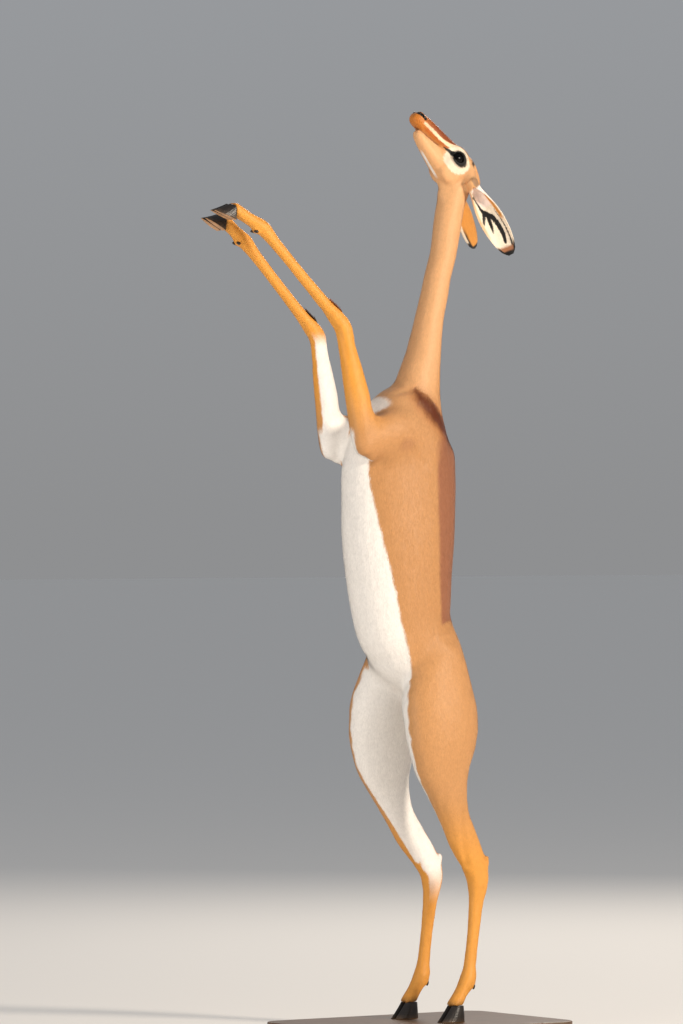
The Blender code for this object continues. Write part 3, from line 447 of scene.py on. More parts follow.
EAR_STREAKS = (
    ((0.12, 0.80, 0.0010), (0.21, 0.61, 0.0014), (0.32, 0.45, 0.0026), (0.39, 0.20, 0.0056),
     (0.46, -0.10, 0.0050)),
    ((0.37, 0.36, 0.0040), (0.42, 0.52, 0.0038), (0.48, 0.72, 0.0026), (0.51, 0.78, 0.0010)),
    ((0.42, 0.10, 0.0050), (0.51, 0.26, 0.0036), (0.58, 0.34, 0.0030), (0.64, 0.44, 0.0014)),
    ((0.44, -0.08, 0.0054), (0.53, -0.24, 0.0050), (0.62, -0.28, 0.0048), (0.72, -0.26, 0.0044),
     (0.82, -0.10, 0.0030)),
    ((0.38, -0.64, 0.0004), (0.54, -0.70, 0.0009), (0.66, -0.74, 0.0012), (0.78, -0.74, 0.0014),
     (0.90, -0.74, 0.0020)),
)
WITHERS_BAND = (
    (1.3480, 0.052, 0.003), (1.3377, 0.064, 0.007), (1.3200, 0.085, 0.012), (1.3020, 0.104, 0.015),
    (1.2750, 0.122, 0.014), (1.2500, 0.136, 0.010), (1.2150, 0.156, 0.004),
)
MOUTH_LINE = ((-0.0200, -0.0142), (0.0150, -0.0142), (0.0383, -0.0142), (0.0584, -0.0140), (0.0800, -0.0136))
NOSTRIL = ((0.0040, 0.0098, 0.0100), (0.0133, 0.0112, 0.0128), (0.0215, 0.0094, 0.0160))
EYE_AT = (0.1315, -0.0087, 0.0195, 0.0145)


def eye_share(s: np.ndarray, d: np.ndarray) -> np.ndarray:
    """Measures places on the face as shares of the way out to the black rim of the lids."""
    return np.hypot((s - EYE_AT[0]) / EYE_AT[2], (d - EYE_AT[1]) / EYE_AT[3])


def from_nostril(points: np.ndarray) -> np.ndarray:
    """Measures how far places lie from either nostril."""
    flatter = np.array([1.0, 0.45, 1.0])
    both = []
    for side in (LEFT, RIGHT):
        line = tuple(HEAD.place(s, d, y * side) * flatter for s, d, y in NOSTRIL)
        both.append(near_line(points * flatter, line)[0])
    return np.minimum(*both)


class Markings:
    """Gives the coat's colour at any place on the hide; skin and tufts both read it."""

    trunk_rows = np.array([
        (0.690, 0.002, 0.030, 0.040, 0.030), (0.730, -0.002, 0.060, 0.062, 0.058),
        (0.778, -0.014, 0.092, 0.084, 0.078), (0.822, -0.028, 0.103, 0.100, 0.083),
        (0.864, -0.044, 0.112, 0.110, 0.084), (0.946, -0.0538, 0.1205, 0.1205, 0.089),
        (1.030, -0.0564, 0.130, 0.130, 0.091), (1.114, -0.0555, 0.134, 0.134, 0.087),
        (1.177, -0.0545, 0.134, 0.1345, 0.083), (1.240, -0.048, 0.118, 0.125, 0.078),
        (1.288, -0.034, 0.094, 0.094, 0.069), (1.345, -0.009, 0.056, 0.058, 0.050),
        (1.600, 0.050, 0.045, 0.045, 0.040), (1.782, 0.098, 0.036, 0.036, 0.032),
    ])
    white_edge = ((0.70, 44.0), (0.79, 55.0), (0.86, 60.0), (0.92, 58.0), (0.99, 53.0), (1.07, 45.0),
                  (1.135, 38.0), (1.17, 35.0), (1.25, 31.0), (1.285, 24.0), (1.300, 4.0), (1.312, -12.0))
    saddle_edge = ((0.78, 112.0), (0.83, 115.0), (0.90, 115.0), (0.99, 112.0), (1.10, 110.0), (1.24, 111.0),
                   (1.28, 122.0), (1.32, 150.0), (1.36, 175.0))

    def __init__(self, palette: Palette) -> None:
        """Turns the palette linear once."""
        self.c = {name: linear(getattr(palette, name)) for name in palette.__dataclass_fields__}

    def plain(self, name: str, points: np.ndarray) -> np.ndarray:
        """Starts from one colour all over."""
        return np.tile(self.c[name], (len(points), 1))

    def around(self, points: np.ndarray) -> np.ndarray:
        """Measures the angle round the trunk: 0 at the belly's middle and 180 along the back."""
        x, z = points[:, 0], points[:, 2]
        rows = self.trunk_rows
        middle, front, back, side = (np.interp(z, rows[:, 0], rows[:, i]) for i in (1, 2, 3, 4))
        depth = np.where(x < middle, front, back)
        return np.degrees(np.arctan2(np.abs(points[:, 1]) / side, (middle - x) / depth))

    def withers(self, colour: np.ndarray, points: np.ndarray, turn: np.ndarray) -> np.ndarray:
        """Lays the dark red-brown band that runs from the neck's side down to the spine."""
        flat = np.stack([points[:, 2] + 0.002 * ripple(points, 0.03), np.radians(turn) * 0.0550], axis=1)
        colour = mix(colour, self.c["withers_edge"], streak(flat, WITHERS_BAND, 0.042) * 0.92)
        return mix(colour, self.c["withers"], streak(flat, WITHERS_BAND, 0.018) * 0.92)

    def thigh_tone(self, colour: np.ndarray, z: np.ndarray) -> np.ndarray:
        """Warms the flank's fawn towards the thigh, and then to amber down the leg."""
        colour = mix(colour, self.c["thigh"], step(0.90, 0.74, z))
        return mix(colour, self.c["leg"], step(0.52, 0.34, z) * 0.9)

    def bib(self, colour: np.ndarray, points: np.ndarray, turn: np.ndarray) -> np.ndarray:
        """Lays the small white patch at the base of the throat."""
        patch = np.hypot((points[:, 2] - 1.315) / 0.020, turn / 33.0)
        return mix(colour, self.c["belly"], (1.0 - step(0.75, 1.10, patch)) * 0.95)

    def fawn(self, points: np.ndarray, turn: np.ndarray) -> np.ndarray:
        """Runs the flank's fawn up into the pale neck and warmer nape, with no edge between them."""
        z = points[:, 2]
        ragged = turn + 4.0 * ripple(points, 0.04)
        high = mix(self.plain("neck", points), self.c["nape"], step(105.0, 150.0, ragged) * 0.9)
        return mix(self.thigh_tone(self.plain("flank", points), z), high, step(1.24, 1.40, z))

    def trunk(self, points: np.ndarray, normals: np.ndarray, side: np.ndarray) -> np.ndarray:
        """White belly, fawn flanks and the darker saddle, with dark withers and painted shade in the dent at
        each shoulder's point.
        """
        z = points[:, 2]
        turn = self.around(points)
        ragged = turn + 0.5 * ripple(points, 0.037) + 0.4 * ripple(points, 0.011)
        white = np.interp(z, *np.array(self.white_edge).T)
        saddle = np.interp(z, *np.array(self.saddle_edge).T)
        colour = self.fawn(points, turn)
        blur = 3.5 + 7.0 * step(1.18, 1.26, z) + 8.0 * step(0.86, 0.80, z)
        share = step(-1.0, 1.0, (ragged - saddle) / blur) * step(0.760, 0.850, z) * step(1.345, 1.300, z)
        colour = mix(colour, self.c["saddle"], share)
        # Painted shade: a faint spot of the saddle's brown in the dent at the point of each shoulder
        painted_dent_shade = np.hypot((z - 1.236) / 0.020, (turn - 72.0) / 14.0)
        colour = mix(colour, self.c["saddle"], (1.0 - step(0.2, 1.0, painted_dent_shade)) * 0.35)
        colour = self.withers(colour, points, turn)
        colour = mix(colour, self.c["belly"], 1.0 - step(white - 2.0, white + 2.0, ragged))
        return self.bib(colour, points, turn)

    def neck(self, points: np.ndarray, normals: np.ndarray, side: np.ndarray) -> np.ndarray:
        """Pale tan, with a warmer nape and painted shade along the fold at the neck's base."""
        turn = self.around(points)
        colour = self.fawn(points, turn)
        # Painted shade: a faint wash of the saddle's brown along the fold at the neck's base, on its front
        # and sides
        fold = np.abs(points[:, 2] - 1.350) / 0.012
        colour = mix(colour, self.c["saddle"], (1.0 - step(0.2, 1.0, fold)) * step(130.0, 90.0, turn) * 0.25)
        colour = self.withers(colour, points, turn)
        return self.bib(colour, points, turn)

    def head(self, points: np.ndarray, normals: np.ndarray, side: np.ndarray) -> np.ndarray:
        """The face: rufous bridge, cream stripe, white ring with a dark tear, and a dark crown."""
        s, d, y = HEAD.measure(points)
        wave = 0.0006 * ripple(points, 0.011)
        flat = np.stack([s, d + wave], axis=1)
        c = self.c
        colour = mix(self.plain("cheek", points), c["neck"], step(0.165, 0.200, s))
        colour = mix(colour, c["muzzle_band"], step(0.105, 0.080, s) * step(-0.0165, -0.0125, d))
        colour = mix(colour, c["rufous"], step(-0.0112, -0.0082, d + wave) * step(0.112, 0.092, s))
        colour = mix(colour, c["lip"], step(0.042, 0.026, s) * step(-0.0150, -0.0130, d))
        stripe = ((0.0260, 0.0014, 0.0030), (0.0520, 0.0010, 0.0036), (0.0760, -0.0008, 0.0031),
                  (0.0950, 0.0006, 0.0044), (0.1080, 0.0050, 0.0052), (0.1300, 0.0108, 0.0056))
        colour = mix(colour, c["stripe"], streak(flat, stripe, 0.0020) * (0.70 + 0.30 * step(0.03, 0.08, s)))
        top = np.interp(s, (0.016, 0.0318, 0.0533, 0.0773, 0.0968, 0.115, 0.145),
                        (0.0030, 0.0046, 0.0043, 0.0024, 0.0054, 0.0116, 0.0142))
        above = step(0.0, 0.0022, d + wave - top)
        colour = mix(colour, c["bridge"], above * step(0.016, 0.030, s) * step(0.166, 0.150, s))
        colour = mix(colour, c["lip"], above * step(0.060, 0.020, s) * 0.45)
        ring = np.hypot((s - 0.1300) / 0.0300, (d + 0.0130) / 0.0262)
        ring = step(1.08, 0.96, ring + 0.03 * ripple(points, 0.012))
        ring = ring * step(0.0150, 0.0100, d - 0.006 * step(0.020, 0.030, y))
        colour = mix(colour, c["ring"], ring)
        lid = eye_share(s, d)
        below_lid = step(1.32, 1.05, lid) * step(-0.004, -0.016, d) * step(0.150, 0.128, s)
        colour = mix(colour, c["dusk"], below_lid * 0.5)
        tear = ((0.1160, -0.0098, 0.0058), (0.1040, -0.0093, 0.0034), (0.0890, -0.0103, 0.0008))
        colour = mix(colour, c["bare_black"], streak(flat, tear, 0.0016))
        colour = mix(colour, c["bare_black"], step(1.06, 0.97, lid) * step(0.010, 0.018, y))
        fall = np.interp(s, (0.158, 0.172, 0.190), (0.0030, -0.0020, -0.0110))
        crown = step(0.158, 0.164, s) * step(0.1920, 0.1860, s) * step(-0.0015, 0.0015, d + wave - fall)
        colour = mix(colour, c["crown"], crown * step(0.0345, 0.0310, y) * 0.95)
        colour = mix(colour, c["nape"], step(0.188, 0.196, s) * step(0.030, 0.022, y) * step(-0.03, -0.01, d))
        spot = np.hypot((s - 0.1865) / 0.013, (d + 0.0240) / 0.011)
        colour = mix(colour, c["dusk"], (1.0 - step(0.5, 1.2, spot)) * step(0.038, 0.044, y) * 0.8)
        down = -(normals @ HEAD.dorsal)
        chin = step(0.0056, 0.0030, y) * step(0.35, 0.6, down) * step(0.058, 0.072, s) * step(0.132, 0.116, s)
        colour = mix(colour, c["belly"], chin * 0.9)
        mouth, _ = near_line(flat, MOUTH_LINE)
        colour = mix(colour, c["withers"], (1.0 - step(0.0004, 0.0016, mouth)) * step(0.088, 0.080, s) * 0.75)
        return mix(colour, c["bare_black"], 1.0 - step(0.0034, 0.0046, from_nostril(points)))

    def ear(self, points: np.ndarray, normals: np.ndarray, side: np.ndarray) -> np.ndarray:
        """Tan back with a black tip, and a white inside with black branching streaks."""
        colour = self.plain("ear_back", points)
        for which, ear in EARS.items():
            chosen = side == which
            if chosen.any():
                colour[chosen] = self.one_ear(ear, points[chosen], normals[chosen])
        return colour

    def one_ear(self, ear: EarFrame, points: np.ndarray, normals: np.ndarray) -> np.ndarray:
        """Colours one ear inside and out."""
        c = self.c
        u, v, _ = ear.measure(points)
        floor = step(0.10, 0.40, normals @ ear.along) * step(0.95, 0.75, np.abs(v)) * step(0.60, 0.40, u)
        inner = np.maximum(step(-0.15, 0.15, normals @ ear.opening), floor) * step(0.010, 0.040, u)
        back = mix(self.plain("ear_back", points), c["neck"], step(0.34, 0.12, u) * 0.8)
        back = mix(back, c["dusk"], step(0.12, 0.06, u) * step(-0.2, -0.6, v) * 0.7)
        edge = step(0.66, 0.90, np.abs(v)) * step(0.50, 0.72, u) * step(-0.05, -0.40, normals @ ear.opening)
        back = mix(back, c["bare_black"], edge)
        rim = step(0.90, 0.96, np.abs(v)) * step(0.10, 0.20, u) * step(0.86, 0.80, u)
        back = mix(back, c["ear_white"], rim * 0.9)
        pink = step(0.33, 0.29, u) * step(0.62, 0.50, v)
        inside = mix(self.plain("ear_white", points), c["ear_pink"], pink)
        inside = mix(inside, c["neck"], step(0.76, 0.90, v) * step(0.80, 0.55, u) * 0.8)
        tan = step(-0.66, -0.76, v) * step(-0.97, -0.90, v) * step(0.10, 0.20, u) * step(0.58, 0.48, u)
        inside = mix(inside, c["ear_back"], tan)
        flat = ear.flat(u, v) + (0.0006 * ripple(points, 0.009))[:, None]
        for line in EAR_STREAKS:
            corners = np.array(line)
            on_ear = np.column_stack([ear.flat(corners[:, 0], corners[:, 1]), corners[:, 2]])
            inside = mix(inside, c["bare_black"], streak(flat, on_ear, 0.0012))
        inside = mix(inside, c["tail_root"], step(0.85, 0.90, u + 0.02 * v))
        made = back + (inside - back) * inner[:, None]
        tip = step(0.925, 0.955, u + 0.012 * v) + step(0.80, 0.90, u) * step(0.78, 0.92, np.abs(v))
        return mix(made, c["bare_black"], np.clip(tip, 0.0, 1.0))

    def hind(self, points: np.ndarray, normals: np.ndarray, side: np.ndarray) -> np.ndarray:
        """Fawn to amber outside, white on the inner face and round its front edge."""
        z = points[:, 2]
        inward = -normals[:, 1] * side
        colour = self.thigh_tone(self.plain("flank", points), z)
        turn = np.degrees(np.arctan2(-normals[:, 0], inward)) + 5.0 * ripple(points, 0.05)
        ahead = np.interp(z, (0.30, 0.40, 0.45, 0.55, 0.70, 0.80), (32.0, 42.0, 62.0, 92.0, 99.0, 92.0))
        behind = np.interp(z, (0.30, 0.45, 0.60, 0.78), (-30.0, -48.0, -62.0, -70.0))
        inner = step(-5.0, 5.0, ahead - turn) * step(-6.0, 6.0, turn - behind) * step(0.255, 0.350, z)
        colour = mix(colour, self.c["belly"], inner)
        scut = step(0.25, 0.60, normals[:, 0]) * step(0.70, 0.76, z)
        scut = scut * step(0.048, 0.036, np.abs(points[:, 1]))
        colour = mix(colour, self.c["belly"], scut * 0.85)
        return mix(colour, self.c["crown"], step(0.072, 0.058, z) * 0.45)

    def fore(self, points: np.ndarray, normals: np.ndarray, side: np.ndarray) -> np.ndarray:
        """Amber outside, white on the inner face from the elbow to near the knee."""
        z = points[:, 2]
        colour = self.fawn(points, self.around(points))
        colour = mix(colour, self.c["leg"], step(1.22, 1.36, z) * step(-0.115, -0.180, points[:, 0]))
        inward = -normals[:, 1] * side + 0.5 * step(1.28, 1.21, z) * np.maximum(0.0, -normals[:, 2])
        low = np.interp(z, (1.20, 1.29), (0.15, 0.50))
        inner = step(0.0, 0.18, inward + 0.05 * ripple(points, 0.03) - low) * step(1.465, 1.430, z)
        white = np.interp(z, *np.array(self.white_edge).T)
        under = step(2.0, -2.0, self.around(points) - white) * step(1.265, 1.245, z)
        return mix(colour, self.c["belly"], np.maximum(inner, under))

    def tail(self, points: np.ndarray, normals: np.ndarray, side: np.ndarray) -> np.ndarray:
        """Brown above and black from the tuft down."""
        z = points[:, 2]
        colour = mix(self.plain("tail_root", points), self.c["saddle"], step(0.77, 0.82, z))
        return mix(colour, self.c["tail_tuft"], step(0.735, 0.670, z))

    def colours(self, points: np.ndarray, normals: np.ndarray) -> np.ndarray:
        """Gives the coat's colour at each place.

        Args:
            points: Places on the hide.
            normals: The hide's directions there.

        Returns:
            Linear colours, one row for each place.
        """
        zone, side, _ = zone_of(points, normals)
        result = np.zeros((len(points), 3))
        for value, name in ZONES.items():
            chosen = zone == value
            if chosen.any():
                paint = getattr(self, name.name.lower())
                result[chosen] = paint(points[chosen], normals[chosen], side[chosen])
        return result


def deselect() -> None:
    """Leaves nothing selected."""
    if bpy.context.object and bpy.context.object.mode != "OBJECT":
        bpy.ops.object.mode_set(mode="OBJECT")
    bpy.ops.object.select_all(action="DESELECT")


def select(*objects: bpy.types.Object) -> None:
    """Selects these objects alone, the first one active."""
    deselect()
    for obj in objects:
        obj.select_set(True)
    bpy.context.view_layer.objects.active = objects[0]


def linked(name: str, data: bpy.types.ID) -> bpy.types.Object:
    """Puts a mesh, curve, light or camera in the scene as a new object."""
    obj = bpy.data.objects.new(name, data)
    bpy.context.scene.collection.objects.link(obj)
    return obj


def shade_smooth(obj: bpy.types.Object) -> None:
    """Shades every face of a mesh smoothly."""
    for polygon in obj.data.polygons:
        polygon.use_smooth = True


def tree_of(obj: bpy.types.Object) -> BVHTree:
    """Prepares an object for rays to be cast at it."""
    return BVHTree.FromObject(obj, bpy.context.evaluated_depsgraph_get())


def mesh_object(name: str, points: np.ndarray, faces: list) -> bpy.types.Object:
    """Makes a mesh object from places and faces."""
    mesh = bpy.data.meshes.new(name)
    mesh.from_pydata([tuple(map(float, p)) for p in points], [], faces)
    mesh.update()
    return linked(name, mesh)


def places(obj: bpy.types.Object) -> np.ndarray:
    """Reads a mesh's vertices as an array."""
    co = np.empty(len(obj.data.vertices) * 3, np.float32)
    obj.data.vertices.foreach_get("co", co)
    return co.reshape(-1, 3).astype(float)


def normals_of(obj: bpy.types.Object) -> np.ndarray:
    """Reads a mesh's vertex normals as an array."""
    co = np.empty(len(obj.data.vertices) * 3, np.float32)
    obj.data.vertex_normals.foreach_get("vector", co)
    return co.reshape(-1, 3).astype(float)


def put_places(obj: bpy.types.Object, points: np.ndarray) -> None:
    """Writes a mesh's vertices from an array."""
    obj.data.vertices.foreach_set("co", points.astype(np.float32).ravel())
    obj.data.update()


def apply_all(obj: bpy.types.Object) -> None:
    """Applies an object's modifiers in order."""
    select(obj)
    for modifier in list(obj.modifiers):
        bpy.ops.object.modifier_apply(modifier=modifier.name)


def voxel_remeshed(obj: bpy.types.Object, size: float) -> bpy.types.Object:
    """Rebuilds a closed form as one even surface."""
    modifier = obj.modifiers.new("voxels", "REMESH")
    modifier.mode = "VOXEL"
    modifier.voxel_size = size
    apply_all(obj)
    return obj


class Neighbours:
    """Averages values over each vertex's neighbours along a mesh's edges."""

    def __init__(self, obj: bpy.types.Object) -> None:
        """Reads the mesh's edges once."""
        edges = np.empty(len(obj.data.edges) * 2, np.int32)
        obj.data.edges.foreach_get("vertices", edges)
        self.a, self.b = edges.reshape(-1, 2).T
        self.size = len(obj.data.vertices)
        count = np.bincount(self.a, minlength=self.size) + np.bincount(self.b, minlength=self.size)
        self.count = np.maximum(count, 1)

    def mean(self, values: np.ndarray) -> np.ndarray:
        """Gives the mean of each vertex's neighbours.

        Args:
            values: One row for each vertex.

        Returns:
            The means, in the same shape.
        """
        total = np.empty_like(values)
        for axis in range(values.shape[1]):
            total[:, axis] = np.bincount(self.a, values[self.b, axis], self.size)
            total[:, axis] += np.bincount(self.b, values[self.a, axis], self.size)
        return total / self.count[:, None]

    def spread(self, values: np.ndarray, rounds: int) -> np.ndarray:
        """Blurs one value for each vertex over its surroundings."""
        rows = values[:, None]
        for _ in range(rounds):
            rows = 0.5 * rows + 0.5 * self.mean(rows)
        return rows[:, 0]


# How far a vertex moves towards its neighbours' mean, in and then out again
STEP_IN, STEP_OUT = 0.55, -0.57


def eased(obj: bpy.types.Object, rounds: int, weights: np.ndarray | None = None) -> None:
    """Smooths a mesh without shrinking it, by a step in and a step out each round.

    Args:
        obj: The mesh object.
        rounds: How many pairs of steps.
        weights: How far each vertex takes part, all of it when left out.
    """
    points, near = places(obj), Neighbours(obj)
    share = np.ones(len(points)) if weights is None else weights
    for _ in range(rounds):
        for amount in (STEP_IN, STEP_OUT):
            points = points + (near.mean(points) - points) * (amount * share)[:, None]
    put_places(obj, points)


def plain_eased(obj: bpy.types.Object, rounds: int, weights: np.ndarray) -> None:
    """Melts a hard bulge by moving vertices towards their neighbours."""
    points, near = places(obj), Neighbours(obj)
    for _ in range(rounds):
        points = points + (near.mean(points) - points) * (0.5 * weights)[:, None]
    put_places(obj, points)


def cad_copy(names: list, name: str, swell: float) -> bpy.types.Object:
    """Joins merged copies of CAD nodes, swelled a little so that neighbours overlap.

    Args:
        names: The nodes to copy.
        name: The new object's name.
        swell: How far each copy is pushed outwards.

    Returns:
        One object that holds all the copies.
    """
    made = []
    for node in names:
        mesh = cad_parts[node].data.copy()
        bm = bmesh.new()
        bm.from_mesh(mesh)
        bmesh.ops.remove_doubles(bm, verts=bm.verts, dist=1e-6)
        bm.normal_update()
        for vertex in bm.verts:
            vertex.co += vertex.normal * swell
        bm.to_mesh(mesh)
        bm.free()
        mesh.materials.clear()
        made.append(linked(name, mesh))
    select(*made)
    if len(made) > 1:
        bpy.ops.object.join()
    made[0].name = name
    return made[0]


@dataclass
class EarShell:
    """A fine leaf-shaped ear with a cupped inside and rolled edges."""

    side: int
    thickness: float = 0.0034
    thinnest: float = 0.0023
    segments: int = 30
    steps: int = 60

    def build(self) -> bpy.types.Object:
        """Lofts the ear as a closed wall between its inner and outer faces.

        At the root the wall wraps almost all the way round and its inside is filled, so that the cup
        grows out of a round stem.

        Returns:
            The ear's object.
        """
        ear = EARS[self.side]
        table = np.array(ear.rows)
        shares = np.linspace(-0.10, 1.0, self.steps)
        half = self.smooth_rows(np.maximum(shares, 0.0), table[:, 0], table[:, 1])
        deep = self.smooth_rows(np.maximum(shares, 0.0), table[:, 0], table[:, 2])
        wraps = np.interp(
            shares, (-0.02, 0.03, 0.08, 0.16, 0.28, 0.40), (180.0, 166.0, 142.0, 124.0, 104.0, 90.0))
        hollow = step(-0.02, 0.09, shares)
        inner, outer = [], []
        for share, width, depth, wrap, open_part in zip(shares, half, deep, wraps, hollow):
            middle = ear.root + ear.along * ear.length * share
            for turn in np.radians(np.linspace(-wrap, wrap, self.segments + 1)):
                sine, cosine = math.sin(turn), math.cos(turn)
                bow = ear.across * sine * width - ear.opening * cosine * depth
                wall = self.thickness * (1.0 - 0.45 * abs(sine)) * (1.0 - 0.5 * max(share, 0.0))
                wall = max(wall, self.thinnest)
                out = unit(ear.across * sine * depth - ear.opening * cosine * width)
                inner.append(middle + (bow - out * wall * 0.3) * open_part)
                outer.append(middle + bow + out * wall * 0.7)
        width = self.segments + 1
        total = self.steps * width
        faces = []
        for i in range(self.steps - 1):
            for k in range(self.segments):
                a, b, c, d = i * width + k, i * width + k + 1, (i + 1) * width + k + 1, (i + 1) * width + k
                faces += [(a, b, c, d), (total + a, total + d, total + c, total + b)]
            for k in (0, self.segments):
                a, d = i * width + k, (i + 1) * width + k
                faces.append((a, d, total + d, total + a))
        last = (self.steps - 1) * width
        for k in range(self.segments):
            faces.append((k, k + 1, total + k + 1, total + k))
            faces.append((last + k, last + k + 1, total + last + k + 1, total + last + k))
        made = mesh_object(f"ear_shell_{SIDE_NAMES[self.side]}", np.array(inner + outer), faces)
        select(made)
        bpy.ops.object.mode_set(mode="EDIT")
        bpy.ops.mesh.select_all(action="SELECT")
        bpy.ops.mesh.normals_make_consistent(inside=False)
        bpy.ops.object.mode_set(mode="OBJECT")
        return made

    @staticmethod
    def smooth_rows(at: np.ndarray, known: np.ndarray, values: np.ndarray) -> np.ndarray:
        """Reads a table as a smooth curve through its rows."""
        slope = np.gradient(values, known)
        i = np.clip(np.searchsorted(known, at) - 1, 0, len(known) - 2)
        span = known[i + 1] - known[i]
        t = (at - known[i]) / span
        a, b = values[i], values[i + 1]
        m, n = slope[i] * span, slope[i + 1] * span
        return ((2 * t**3 - 3 * t**2 + 1) * a + (t**3 - 2 * t**2 + t) * m
                + (-2 * t**3 + 3 * t**2) * b + (t**3 - t**2) * n)


BODY_NODES = ["chest", "belly", "rump", "neck"]
BODY_NODES += [f"{part}_{side}" for side in ("left", "right") for part in (
    "fore_leg", "fore_shank", "fore_pastern", "hind_leg", "hind_shank", "hind_pastern")]
HEAD_NODES = ["head"]
DEPTHS = {
    Zone.TRUNK: 0.0030, Zone.NECK: 0.0022, Zone.HEAD: 0.0008, Zone.EAR: 0.0002, Zone.HIND: 0.0020,
    Zone.FORE: 0.0014, Zone.TAIL: 0.0022,
}
SHANK_DEPTH = 0.0010
UPPER_ARM_EXTRA = 0.0012


@dataclass(frozen=True)
class Carving:
    """A groove along a line on the hide, or a ridge where its depth is negative."""

    line: tuple
    depth: float
    width: float

    def shift(self, points: np.ndarray) -> np.ndarray:
        """Gives how far the hide moves outwards at each place."""
        gap, _ = near_line(points, self.line)
        return -self.depth * bell(gap, self.width)


TENDONS = (
    (((0.0374, -0.1020, 0.4598), (0.0453, -0.0947, 0.4028), (0.0584, -0.0860, 0.3500)), 0.0034, 0.0075),
    (((0.0374, -0.0560, 0.4598), (0.0453, -0.0590, 0.4028), (0.0584, -0.0630, 0.3500)), 0.0030, 0.0075),
    (((-0.0180, -0.1060, 0.5400), (-0.0100, -0.0980, 0.4700), (0.0180, -0.0930, 0.4100)), 0.0016, 0.0090),
    (((-0.0868, -0.0745, 0.8286), (-0.0773, -0.0720, 0.8014), (-0.0718, -0.0679, 0.7762)), -0.0026, 0.0075),
    (((-0.0092, -0.0845, 0.8217), (0.0271, -0.0912, 0.8005), (0.0500, -0.0880, 0.7700)), -0.0016, 0.0110),
)
FORE_CARVINGS = (
    ((-0.2340, -0.0655, 1.4100), (-0.2429, -0.0614, 1.4494), (-0.2542, -0.0558, 1.4742),
     (-0.2665, -0.0480, 1.4908), (-0.2783, -0.0361, 1.5074)),
    ((-0.3400, -0.0250, 1.5900), (-0.3700, -0.0180, 1.6250), (-0.4000, -0.0120, 1.6600)),
)
FORE_CARVING_DEPTH = 0.0015
FORE_CARVING_WIDTH = 0.0055
SHOULDER_CARVINGS = (
    (((-0.1579, -0.0774, 1.2842), (-0.1560, -0.0790, 1.2700)), 0.0030, 0.0100),
    (((-0.0955, -0.0867, 1.2326), (-0.0763, -0.0812, 1.2140), (-0.0480, -0.0812, 1.1954)), 0.0022, 0.0120),
)


def body_carvings() -> list:
    """Lists the grooves and ridges of the body for both sides."""
    made = []
    for side in (LEFT, RIGHT):
        for line, depth, width in TENDONS:
            made.append(Carving(tuple(hind_point(side, p) for p in line), depth, width))
        mirror = np.array([1.0, -float(side), 1.0])
        knee = np.array(FORE_LINES[side][2]) - np.array(FORE_LINES[LEFT][2]) * mirror
        for line in FORE_CARVINGS:
            moved = [np.array(p) * mirror + knee for p in line]
            made.append(Carving(tuple(map(tuple, moved)), FORE_CARVING_DEPTH, FORE_CARVING_WIDTH))
        for line, depth, width in SHOULDER_CARVINGS:
            made.append(Carving(tuple((x, -y * side, z) for x, y, z in line), depth, width))
    return made


